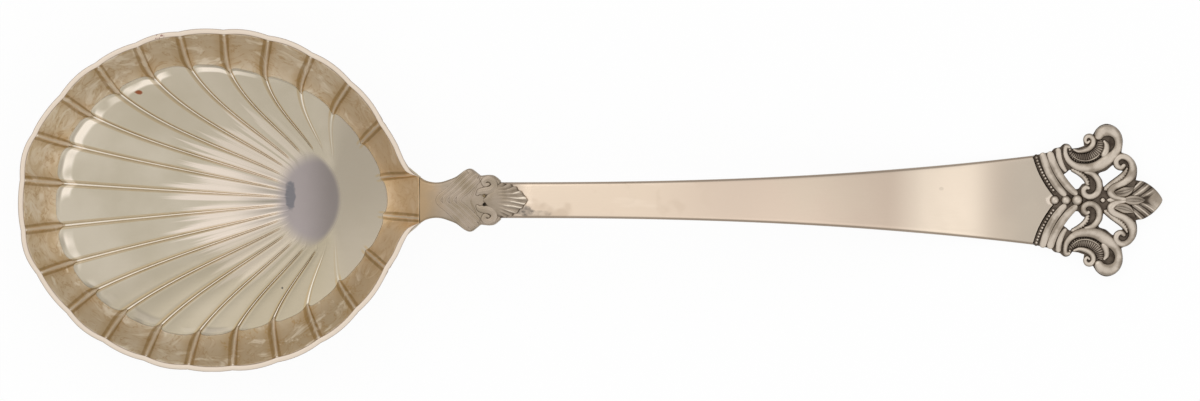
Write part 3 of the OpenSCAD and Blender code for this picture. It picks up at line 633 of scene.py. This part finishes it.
# Relief silver. Cast and chased work keeps dark tarnish wherever a cloth can't reach, and its
# high places are rubbed bright. Each relief mesh carries a mark of that patina and of painted
# light: painted shade on flanks and in grooves, and a painted highlight along crests. Below 0
# it is rubbed and painted as a highlight, 1 is a recess, and from 1.6 it is black.


def relief_silver(name, rubbed_highlight, plain, dull, recess, gilt=None):
    """Four tones by the mark of patina and painted light. Near the bowl, the neck keeps the
    bowl's gold-brown tarnish.
    """
    material, place = new_metal(name)
    cloud, fine = place.noise(420.0, 3), place.noise(2600.0, 2)
    soot = place.mark("soot") + 0.6 * (cloud - 0.5)
    # The rubbed tone is wear and a painted highlight, the recess tone is patina and painted shade,
    # and the black is painted shade in a drilled eye.
    base = layered(cloud.rises(0.35, 0.68).tint(plain, dull),
        (1 - soot.rises(-0.25, -0.02), rubbed_highlight),
        (soot.rises(0.15, 0.8), recess),
        (soot.rises(1.3, 1.6), "2B251F"))
    if gilt:
        near = 1 - (place.part(0) + 0.003 * (cloud - 0.5)).rises(-0.0238, -0.0198)
        base = (near * 0.85).tint(base, gilt)
    rough = 0.26 + 0.12 * cloud + 0.3 * soot.rises(0.2, 0.9)
    return finished(material, base, rough, fine, 0.000012)


neck_silver = relief_silver("neck_silver", "B2A494", "A79888", "9C8E7C", "86755A", "AA8F6C")
leaf_silver = relief_silver("leaf_silver", "DDD0BE", "A09282", "948674", "7A6D5E")
finial_silver = relief_silver("finial_silver", "C7BBAD", "A99D8F", "8F8375", "4C4239")
dark_silver = relief_silver("oxidised_silver", "B5A999", "84786C", "70655A", "3A312A")

hatch_depth = 0.09


def curve_through(points, steps):
    """A Catmull-Rom curve through all the points, with its first and last point doubled."""
    p = np.array(points, float)
    p = np.concatenate([p[:1], p, p[-1:]])
    t = (np.arange(steps) / steps)[:, None]
    runs = [between(p[i - 1], p[i], p[i + 1], p[i + 2], t) for i in range(1, len(p) - 2)]
    return np.concatenate([*runs, p[-2:-1]])


def band(points, height, floor, steps=8, full=0.5, taper=0.3, dish=0.0, soot=1.0, around=21,
        hatch=0.0, side=0, clean=0):
    """A raised band along a path of [x, y, width]. Over its top, out = cos of the turn times
    half the width, and up = height times sin of the turn to the power of full, less a dish with
    a fine vein left in its middle. Beyond each end, it shortens as sin and narrows as cos of a
    quarter turn. Hatch is the pitch of fine ribs across it, on one side or on both. Its mark is
    painted shade on the flanks, patina and painted shade in the dish and the hatching, and a
    painted highlight along the crest. Clean names a side, 1 for left and -1 for right, that lies
    on the outline and keeps little of that darkening."""
    line = curve_through(points, steps)
    xy, half = line[:, :2], line[:, 2] / 2
    along = unit(np.gradient(xy, axis=0))
    cap = np.radians([88, 70, 50, 30, 12])
    more, s, c = len(cap), np.sin(cap)[:, None], np.cos(cap)
    xy = np.concatenate([xy[0] - along[0] * half[0] * s, xy,
        xy[-1] + along[-1] * half[-1] * s[::-1]])
    along = np.concatenate([np.tile(along[0], (more, 1)), along, np.tile(along[-1], (more, 1))])
    narrow = np.concatenate([c, np.ones(len(half)), c[::-1]])
    half = np.concatenate([np.full(more, half[0]), half, np.full(more, half[-1])])
    rise = height * (half / half.max())**taper * narrow**full
    half = (half * narrow)[:, None]
    across = np.stack([-along[:, 1], along[:, 0]], -1)
    turn = np.linspace(0, np.pi, around)
    out, up = np.cos(turn), np.maximum(np.sin(turn), 0)**full
    vein = np.exp(-(out / 0.5)**2) - 0.8 * np.exp(-(out / 0.13)**2)
    wave = np.zeros((len(xy), around))
    if hatch:
        run = np.concatenate([[0], np.cumsum(np.linalg.norm(np.diff(xy, axis=0), axis=1))])
        flank = np.clip(side * out * 1.4, 0, 1) if side else np.ones(around)
        wave = (0.5 - 0.5 * np.cos(run * 2 * np.pi / hatch))[:, None] * flank
    top = up - dish * vein
    rings = np.concatenate([xy[:, None] + across[:, None] * (half * out)[..., None],
        (floor + rise[:, None] * top - hatch_depth * wave * up)[..., None]], -1)
    # Darker on the flanks as painted shade, darker in the dish and the hatching as patina and
    # painted shade, and lighter along the crest as a painted highlight.
    patina_shade_highlight = soot * np.clip((1 - up)**1.4 + dish * 6 * vein + 1.1 * wave, 0, 1)
    patina_shade_highlight = patina_shade_highlight * (1 - 0.8 * np.clip(3 * clean * out, 0, 1)) - 0.22 * np.sin(turn)**4
    return lofted(rings, {"soot": patina_shade_highlight})


def other_side(part):
    """The same part on the other side of the spoon's middle, with its corners' order turned."""
    points, quads, fans, marks = part
    return points * [1, -1, 1], quads[:, ::-1], fans[:, ::-1], marks


def relief(name, parts, node, material=finial_silver, slot="relief_silver"):
    piece(name, parts, material, slot, node)


def on_both_sides(name, parts, node, *looks):
    """A left piece, and its mirror image on the right."""
    relief(name + "_left", parts, node + "_left", *looks)
    relief(name + "_right", [other_side(part) for part in parts], node + "_right", *looks)


def dome(x, y, z, width, height, around=16, soot=0.9):
    """A pearl: rings of a quarter turn, as wide as cos and as high as sin."""
    turn = np.radians([0, 15, 30, 45, 60, 75, 87])
    ring = np.linspace(0, 2 * np.pi, around, endpoint=False)
    r, up = np.cos(turn)[:, None] * width / 2, np.sin(turn)[:, None] * height
    rings = np.stack([x + r * np.cos(ring), y + r * np.sin(ring), z + up + 0 * ring], -1)
    # Painted shade on the pearl's flanks, and a painted highlight on its top.
    patina_shade_highlight = soot * (1 - np.sin(turn)[:, None])**2 - 0.25 * np.sin(turn)[:, None]**4
    return lofted(rings, {"soot": patina_shade_highlight})


# Neck plate. A cast fitting, soldered to the bowl's lip and to the end of the stem. Its edge
# swells to two shoulders, and its top is lightly crowned.

neck_w, chevron_h, neck_volute_h, leaf_t = 8.8, 0.3, 0.5, 0.5
neck_round, neck_crown, neck_sink = 0.35, 0.12, -0.03
neck_edge_shares = [[0, 0.727], [0.074, 0.619], [0.173, 0.565], [0.27, 0.578], [0.36, 0.648],
    [0.457, 0.752], [0.556, 0.937], [0.63, 1], [0.704, 0.879], [0.753, 0.784], [0.802, 0.79],
    [0.87, 0.803], [0.93, 0.765], [1, 0.619]]


def on_neck(part):
    """The same part on the neck. It was made flat, with z = 0 on the neck's top and x = 0 at
    the bowl's lip, and is turned to the neck's slope."""
    (x, y, z), c, s = part[0].T, np.cos(neck_slope), np.sin(neck_slope)
    return np.stack([lip_x + x * c - z * s, y, rim_h + x * s + z * c], -1), *part[1:]


def on_neck_plan(shares):
    return scaled(shares, neck_len, neck_w / 2)


def neck_plate():
    """A rounded oblong whose half width follows the edge table."""
    edge = curve_through(on_neck_plan(neck_edge_shares), 6)
    x = np.linspace(0, neck_len, 90)
    half = np.interp(x, edge[:, 0], edge[:, 1])[:, None]
    y, sink = oblong_top(half, np.full_like(half, neck_round), 32)
    top = -sink - neck_crown * (y / half)**2
    rings = np.stack([np.broadcast_to(x[:, None], (90, 2 * y.shape[1])),
        np.concatenate([y, y[:, ::-1]], 1),
        np.concatenate([top, -neck_t + sink[:, ::-1]], 1)], -1)
    # Darker towards the rounded edges as painted shade, and darker towards the bowl.
    patina_shade_highlight = (0.05 + 0.35 * ease(0.35, 0, half - np.abs(rings[..., 1]))
        + 0.3 * ease(0.45, 0.1, x)[:, None])
    return on_neck(lofted(rings, {"soot": patina_shade_highlight}))


relief("neck_fitting", [neck_plate()], "neck_plate", neck_silver)

# Neck ornament. Four chased V ribs and a brace line, two small volutes with a drilled eye
# beside each, shown as a flat dot painted dark as the shade in its hole, and a toothed leaf
# that laps over the end of the stem, all on the cast fitting.

v_rib_w, v_rib_h, brace_w, brace_h = 0.76, 0.45 * chevron_h, 0.26, 0.08
curl_h, eye_z, eye_d, eye_t = 0.85 * neck_volute_h, 0.82 * neck_volute_h, 0.42, 0.02
leaf_floor, leaf_rib_h, leaf_start_share = 0.72 * leaf_t, 0.08, 0.8
leaf_squash, leaf_root_gap, leaf_rib_turn, leaf_tooth = 0.9, 1.36, 50, 0.14
chevron_shares = [[[0.235, 0], [0.37, 0.352], [0.574, 0.86]],
    [[0.315, 0], [0.451, 0.343], [0.648, 0.832]], [[0.401, 0], [0.528, 0.33], [0.704, 0.768]],
    [[0.488, 0], [0.6, 0.298], [0.724, 0.61]]]
brace_shares = [[0.747, 0.72], [0.722, 0.56], [0.69, 0.34], [0.655, 0.13], [0.643, 0]]


def across_neck(shares, width, height, soot):
    """A band over the neck's middle, through places given for the left half."""
    half = [[*on_neck_plan(p), width] for p in shares]
    path = half + [[x, -y, w] for x, y, w in half[-2::-1]]
    return on_neck(band(path, height, neck_sink, soot=soot, around=25, taper=0, dish=0.16))


relief("neck_v_ribs", [across_neck(s[::-1], v_rib_w, v_rib_h, 0.95) for s in chevron_shares]
    + [across_neck(brace_shares, brace_w, brace_h, 1.0)], "neck_chevrons", neck_silver)

neck_volute_shares = [[0.722, 0.19, 0.12], [0.75, 0.26, 0.22], [0.81, 0.29, 0.27],
    [0.885, 0.33, 0.26], [0.932, 0.46, 0.24], [0.91, 0.62, 0.23], [0.85, 0.68, 0.22],
    [0.8, 0.6, 0.19], [0.818, 0.49, 0.16], [0.86, 0.51, 0.12]]
volute = on_neck(band(on_neck_plan(neck_volute_shares), curl_h, neck_sink, full=0.45, soot=0.6,
    dish=0.1, clean=-1))
eye_x, eye_y = on_neck_plan([0.809, 0.135])
eye = on_neck(dome(eye_x, eye_y, eye_z, eye_d, eye_t))
# Each eye is a flat dot painted dark as the shade in a drilled hole, the right one black.
for name, eye_soot in (("right", 2.2), ("left", 0.75)):
    eye[3]["soot"][:] = eye_soot
    parts = [volute, eye] if name == "left" else [other_side(volute), other_side(eye)]
    relief("neck_curl_" + name, parts, "neck_volute_" + name, neck_silver)

leaf_half_shares = [[0, 0.06], [0.1, 0.22], [0.25, 0.42], [0.38, 0.55], [0.5, 0.56],
    [0.62, 0.53], [0.75, 0.42], [0.88, 0.26], [0.96, 0.12], [1, 0.02]]


def low_shell(half):
    """Across a low shell: each point's share of the half width, its place, and its share of
    the rise, which goes as a root of 1 - v squared."""
    v = np.sin(np.linspace(np.pi / 2, -np.pi / 2, 61))
    return v, half[:, None] * v, np.clip(1 - v**2, 0, 1)**0.35


def leaf():
    """A fan of ribs that spread from the leaf's root: the rise over a rib goes as the cosine of
    a multiple of the direction from the root, made a little uneven, and each rib ends in a
    tooth of the leaf's edge. The ribs begin a third of the way along, the middle ones later."""
    start, end = leaf_start_share * neck_len, neck_len + lap_len
    x = np.linspace(start, end, 90)
    table = curve_through(leaf_half_shares, 6)
    f = (x - start) / (end - start)
    v, y, edge = low_shell(np.interp(f, table[:, 0], table[:, 1]) * neck_w / 2)
    f = f[:, None]
    fan = np.arctan2(y, (x - start)[:, None] * leaf_squash + leaf_root_gap) * leaf_rib_turn
    fan = fan + 3 * f + 0.9 * np.sin(9 * f + 2.2 * y) + 0.7
    grown = ease(0.3, 0.5, f) * ease(0.1, 0.4, np.abs(y) / 1.4 + 0.6 * f**2)
    crest = 0.5 + 0.5 * np.cos(fan)
    y = y * (1 - leaf_tooth * (1 - crest) * grown * np.abs(v)**3)
    top = edge * (leaf_floor + leaf_rib_h * np.cos(fan) * grown)
    rings = np.stack([np.broadcast_to(x[:, None], y.shape), y, top], -1)
    # Darker between the ribs and at the edge as painted shade, and lighter on the ribs towards the
    # tips as a painted highlight.
    patina_shade_highlight = 0.15 + grown * (0.36 * (1 - crest) - 0.5 * crest * f)
    return on_neck(lofted(rings, {"soot": np.maximum(patina_shade_highlight, 0.8 * (1 - edge)**1.5 + patina_shade_highlight)}))


relief("neck_leaf", [leaf()], "neck_palmette", leaf_silver)

# Finial fan. Rows of small grains on a dark strip, then broad mouldings set close together,
# and a row of pearls over the middle, all soldered or chased on the pierced plate.

bead_strip_w, bead_strip_t, bead_d, bead_h, bead_count = 0.55, 0.15, 0.46, 0.24, 12
bead_run_shares, strip_gap_share = (0.03, 0.84), 0.65
fan_h, pearl_h, small_pearl_d, small_pearl_h = 0.4, 0.6, 0.88, 0.37


def on_plate(shares, height, **shape):
    """A band that stands on the finial's plate."""
    return band(on_finial(shares), height, plate_t, **shape)


def seam_place(t):
    """A place beside the seam, on the finial's side, a share of the strip's width away."""
    place, way = seam(t)
    side = unit(np.stack([-way[:, 1], way[:, 0]], -1))
    return place + side * bead_strip_w * strip_gap_share


low, high = bead_run_shares
strip = seam_place(np.linspace(low, high, 9))
grains = seam_place(low + (high - low) * (np.arange(bead_count) + 0.5) / bead_count)
strip_band = band(np.column_stack([strip, np.full(9, bead_strip_w)]), bead_strip_t, plate_t,
    full=0.3)
strip_band[3]["soot"][:] = 0.7
grain_z = plate_t + bead_strip_t * 0.6
on_both_sides("grain_row", [strip_band] + [dome(x, y, grain_z, bead_d, bead_h, 12, 0.5)
    for x, y in grains], "bead_wire")

fan_shares = [
    [[0.074, 0.578, 0.094], [0.092, 0.484, 0.099], [0.123, 0.353, 0.101], [0.168, 0.222, 0.099],
        [0.217, 0.117, 0.09], [0.236, 0.085, 0.08]],
    [[0.132, 0.592, 0.098], [0.154, 0.484, 0.102], [0.193, 0.353, 0.104], [0.247, 0.222, 0.102],
        [0.298, 0.128, 0.094], [0.322, 0.095, 0.08]],
    [[0.193, 0.645, 0.08], [0.2, 0.554, 0.078], [0.221, 0.458, 0.072], [0.244, 0.395, 0.056]]]
on_both_sides("fan_mouldings", [on_plate(shares, fan_h, full=0.2, soot=0.85)
    for shares in fan_shares], "fan_bands")

relief("middle_pearls", [dome(on_finial([share, 0])[0], 0, plate_t, pearl_d, pearl_h, 32, 0.6)
    for share, pearl_d in ((0.165, 1.4), (0.253, 1.48), (0.34, 1.7))], "axis_pearls")
relief("small_pearl", [dome(on_finial([0.537, 0])[0], 0, plate_t, small_pearl_d, small_pearl_h,
    24, 0.6)], "centre_pearl")

# Finial scrolls. Cast C-scrolls with a comma-shaped hollow, a black gadrooned lining, a curled
# lip, and volutes whose channels are hatched. They are soldered on, and stand on the plate.

outer_h, tongue_h, ball_d, ball_h = 0.8, 0.66, 0.52, 0.45
lining_h, arc_h, lip_h, lining_pitch = 0.25, 0.42, 0.6, 0.3
volute_h, channel_h, channel_pitch = 0.75, 0.5, 0.38
outer_scroll_shares = [[0.276, 0.695, 0.05], [0.253, 0.698, 0.062], [0.246, 0.641, 0.064],
    [0.257, 0.565, 0.076], [0.284, 0.499, 0.086], [0.328, 0.447, 0.102], [0.382, 0.424, 0.122],
    [0.436, 0.421, 0.135], [0.493, 0.444, 0.148], [0.545, 0.494, 0.156], [0.59, 0.552, 0.145],
    [0.625, 0.607, 0.122], [0.652, 0.682, 0.112], [0.658, 0.763, 0.107], [0.644, 0.844, 0.122],
    [0.608, 0.899, 0.148], [0.565, 0.91, 0.154], [0.527, 0.886, 0.146], [0.507, 0.844, 0.12]]
tongue_shares = [[0.549, 0.77, 0.045], [0.566, 0.724, 0.08], [0.565, 0.661, 0.09],
    [0.55, 0.593, 0.1]]
ball_x, ball_y = on_finial([0.281, 0.661])
on_both_sides("outer_c_scroll",
    [on_plate(outer_scroll_shares, outer_h, full=0.34, clean=-1),
    on_plate(tongue_shares, tongue_h, full=0.36),
    dome(ball_x, ball_y, plate_t + 0.1, ball_d, ball_h)], "outer_scroll")

lining_shares = [[0.29, 0.612, 0.065], [0.326, 0.565, 0.118], [0.377, 0.546, 0.136],
    [0.431, 0.557, 0.144], [0.479, 0.601, 0.149], [0.511, 0.672, 0.144], [0.52, 0.742, 0.104]]
arc_shares = [[0.303, 0.58, 0.02], [0.345, 0.532, 0.03], [0.39, 0.515, 0.034],
    [0.437, 0.522, 0.034], [0.485, 0.559, 0.03], [0.513, 0.607, 0.02]]
on_both_sides("gadroon_lining",
    [on_plate(lining_shares, lining_h, steps=24, hatch=lining_pitch, soot=0.8),
    on_plate(arc_shares, arc_h, soot=-0.3)], "scroll_lining", dark_silver, "oxidised_silver")

lip_shares = [[0.314, 0.659, 0.034], [0.352, 0.638, 0.052], [0.394, 0.648, 0.066],
    [0.432, 0.678, 0.078], [0.459, 0.727, 0.08], [0.463, 0.791, 0.078], [0.442, 0.835, 0.072],
    [0.413, 0.829, 0.064], [0.401, 0.786, 0.056], [0.415, 0.75, 0.05], [0.432, 0.77, 0.042]]
on_both_sides("curled_lip", [on_plate(lip_shares, lip_h)], "scroll_lip")

inner_volute_shares = [[0.405, 0.371, 0.06], [0.46, 0.34, 0.084], [0.497, 0.272, 0.092],
    [0.51, 0.188, 0.095], [0.499, 0.11, 0.095], [0.468, 0.058, 0.092], [0.427, 0.047, 0.088],
    [0.395, 0.078, 0.085], [0.388, 0.133, 0.083], [0.408, 0.168, 0.077], [0.424, 0.16, 0.062]]
inner_rail_shares = [[0.307, 0.398, 0.066], [0.352, 0.358, 0.076], [0.388, 0.312, 0.08],
    [0.412, 0.26, 0.078], [0.42, 0.208, 0.068]]
on_both_sides("inner_curl",
    [on_plate(inner_volute_shares, volute_h, full=0.38, clean=1),
    on_plate(inner_rail_shares, channel_h, steps=20, hatch=channel_pitch, side=1)],
    "inner_volute")

crest_shares = [[0.71, 0.014, 0.05], [0.664, 0.026, 0.075], [0.622, 0.052, 0.095],
    [0.597, 0.103, 0.105], [0.617, 0.163, 0.098], [0.661, 0.2, 0.094], [0.712, 0.243, 0.106],
    [0.752, 0.313, 0.122], [0.767, 0.408, 0.106], [0.755, 0.497, 0.09], [0.721, 0.557, 0.085],
    [0.675, 0.57, 0.09], [0.642, 0.523, 0.088], [0.646, 0.455, 0.085], [0.676, 0.424, 0.075],
    [0.699, 0.452, 0.068]]
crest_rail_shares = [[0.563, 0.15, 0.08], [0.602, 0.203, 0.09], [0.646, 0.256, 0.092],
    [0.686, 0.309, 0.09], [0.713, 0.364, 0.075], [0.725, 0.411, 0.05]]
on_both_sides("crest_curl",
    [on_plate(crest_shares, volute_h, full=0.38, clean=-1),
    on_plate(crest_rail_shares, channel_h, steps=20, hatch=channel_pitch, side=-1)],
    "crest_scroll")

# Finial tip. Three pointed petals, each with a lighter rim, a dish painted darker as shade, and
# a vein, in front of a low shell whose ribs sweep out to its edge and stop short of a smooth
# round end.

side_petal_h, centre_petal_h, hub_h = 0.72, 0.78, 0.5
side_petal_shares = [[0.622, 0.1, 0.03], [0.645, 0.094, 0.08], [0.676, 0.097, 0.122],
    [0.709, 0.11, 0.138], [0.741, 0.128, 0.112], [0.764, 0.148, 0.06], [0.782, 0.167, 0.008]]
centre_petal_shares = [[0.672, 0, 0.04], [0.71, 0, 0.08], [0.749, 0, 0.13],
    [0.784, 0, 0.14], [0.819, 0, 0.112], [0.846, 0, 0.062], [0.87, 0, 0.008]]
hub_shares = [[0.585, 0, 0.06], [0.612, 0, 0.11], [0.65, 0, 0.12], [0.69, 0, 0.09]]
side_petal = on_plate(side_petal_shares, side_petal_h, dish=0.22, soot=0.75, around=33)
centre_petal = on_plate(centre_petal_shares, centre_petal_h, dish=0.22, soot=0.75, around=33)
hub = on_plate(hub_shares, hub_h, soot=0.6)
relief("three_petals", [centre_petal, side_petal, other_side(side_petal), hub], "petals")

tip_floor, tip_rib_h, tip_pitch, tip_start, tip_sweep = 0.3, 0.24, 1.56, 12.2, 2.5
smooth_end = (0.86, 0.93)
palmette_shares = [[0.73, 0.004], [0.757, 0.078], [0.784, 0.196], [0.807, 0.248],
    [0.842, 0.251], [0.888, 0.214], [0.937, 0.152], [0.973, 0.086], [0.993, 0.033], [0.999, 0.003]]


def tip_shell():
    """A low shell. Its ribs are a cosine of x less the sweep times the distance from the middle
    to the power of 0.6, and that cosine is raised to the power of 2.5. Two faint ribs lie
    between each pair."""
    table = curve_through(on_finial(palmette_shares), 6)
    x = np.linspace(table[0, 0], table[-1, 0], 150)
    half = np.interp(x, np.maximum.accumulate(table[:, 0]), table[:, 1])
    _, y, edge = low_shell(half)
    phase = (x[:, None] - finial_x - tip_start - tip_sweep * np.abs(y)**0.6) * 2 * np.pi / tip_pitch
    wave = (0.5 + 0.5 * np.cos(phase))**2.5 + 0.5 * (0.5 + 0.5 * np.cos(3 * phase))
    wave = np.clip(wave, 0, 1) * (0.2 + 0.8 * ease(0.2, 0.8, np.abs(y)))
    plain = ease(*smooth_end, ((x - finial_x) / finial_len)[:, None] - 0.03 * np.abs(y))
    wave = wave * (1 - plain) + 0.75 * plain
    top = plate_t + edge * (tip_floor + tip_rib_h * wave)
    rings = np.stack([np.broadcast_to(x[:, None], y.shape), y, top], -1)
    # Darker between the ribs as patina and painted shade, darker at the edge as painted shade, and
    # lighter on the ribs as a painted highlight.
    patina_shade_highlight = 0.95 * (1 - wave)**1.2 + 0.3 * (1 - edge) - 0.35 * wave**2
    return lofted(rings, {"soot": patina_shade_highlight - 0.05 * plain})


relief("ribbed_tip", [tip_shell()], "tip_palmette")

# Finial plate. The pierced plate under the relief: its top is black with tarnish between the
# scrolls, and the walls of its openings and its back are rubbed grey.


def ground_silver():
    """Black from just under the plate's top, and grey below."""
    material, place = new_metal("ground_silver")
    cloud, fine = place.noise(700.0, 3), place.noise(2600.0, 2)
    black = cloud.rises(0.35, 0.7).tint("655A4F", "463C34")
    base = place.part(2).rises(0.0009, 0.00124).tint("A09382", black)
    return finished(material, base, 0.34 + 0.2 * cloud, fine, 0.00001)


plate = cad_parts["finial_plate"]
plate.data.materials.clear()
plate.data.materials.append(ground_silver())

# Studio. A pale floor, a white surround that metal shows too, and two large soft lamps.

scene = bpy.context.scene


def empty_tree(owner):
    """Gives a world or a material nodes of its own, and clears them."""
    owner.use_nodes = True
    owner.node_tree.nodes.clear()
    return owner.node_tree, Link(owner.node_tree, None)


scene.world = bpy.data.worlds.new("studio")
tree, link = empty_tree(scene.world)
up = link.node("ShaderNodeTexCoord", {}, result=0).part(2)


def white_share(link, camera, mirrored):
    """How much of the plain white a ray sees: one share for the camera's rays, and one for
    rays that metal or glass sends on."""
    glossy = link.node("ShaderNodeLightPath", {}, result="Is Glossy Ray")
    through = link.node("ShaderNodeLightPath", {}, result="Is Transmission Ray")
    seen = link.node("ShaderNodeLightPath", {}, result="Is Camera Ray")
    return seen * camera + (glossy + through) * mirrored


white = white_share(link, 1.0, 0.3)
level = up.rises(-0.15, 0.95) * 0.66 + 0.4
back = link.node("ShaderNodeBackground", {"Color": (1, 1, 1, 1),
    "Strength": level * (1 - white) + white})
output = tree.nodes.new("ShaderNodeOutputWorld")
tree.links.new(back.output, output.inputs["Surface"])

floor_half, floor_z = 4, -2e-5
floor_mesh = bpy.data.meshes.new("floor")
floor_mesh.from_pydata([(x * floor_half, y * floor_half, floor_z)
    for x, y in ((-1, -1), (1, -1), (1, 1), (-1, 1))], [], [(0, 1, 2, 3)])
floor = bpy.data.objects.new("floor", floor_mesh)
scene.collection.objects.link(floor)
paper = bpy.data.materials.new("paper")
tree, link = empty_tree(paper)
white = link.node("ShaderNodeEmission", {"Color": (1, 1, 1, 1), "Strength": 1.0})
matt = link.node("ShaderNodeBsdfDiffuse", {"Color": (0.9, 0.9, 0.9, 1)})
both = link.node("ShaderNodeMixShader", {0: white_share(link, 0.94, 0.4), 1: matt, 2: white})
output = tree.nodes.new("ShaderNodeOutputMaterial")
tree.links.new(both.output, output.inputs["Surface"])
floor_mesh.materials.append(paper)


def lamp(name, place, size, watts):
    """A square soft lamp that faces the spoon."""
    data = bpy.data.lights.new(name, "AREA")
    data.size, data.energy = size, watts
    made = bpy.data.objects.new(name, data)
    made.location = place
    made.rotation_mode = "QUATERNION"
    made.rotation_quaternion = made.location.to_track_quat("Z", "Y")
    scene.collection.objects.link(made)


lamp("key_lamp", (-0.4, 0.55, 0.85), 0.9, 1.1)
lamp("fill_lamp", (0.6, -0.45, 0.8), 0.8, 0.6)

# The photograph looks straight down, from far enough away that nothing leans.
lens, sensor_w, picture_w, middle_h = 500, 36, 0.16769, 0.0075
camera_data = bpy.data.cameras.new("camera")
camera_data.lens, camera_data.sensor_width = lens, sensor_w
camera_data.clip_end = 50
camera = bpy.data.objects.new("camera", camera_data)
camera.location = (0.0012, -0.00005, picture_w * lens / sensor_w + middle_h)
scene.collection.objects.link(camera)
scene.camera = camera
scene.view_settings.view_transform = "Standard"
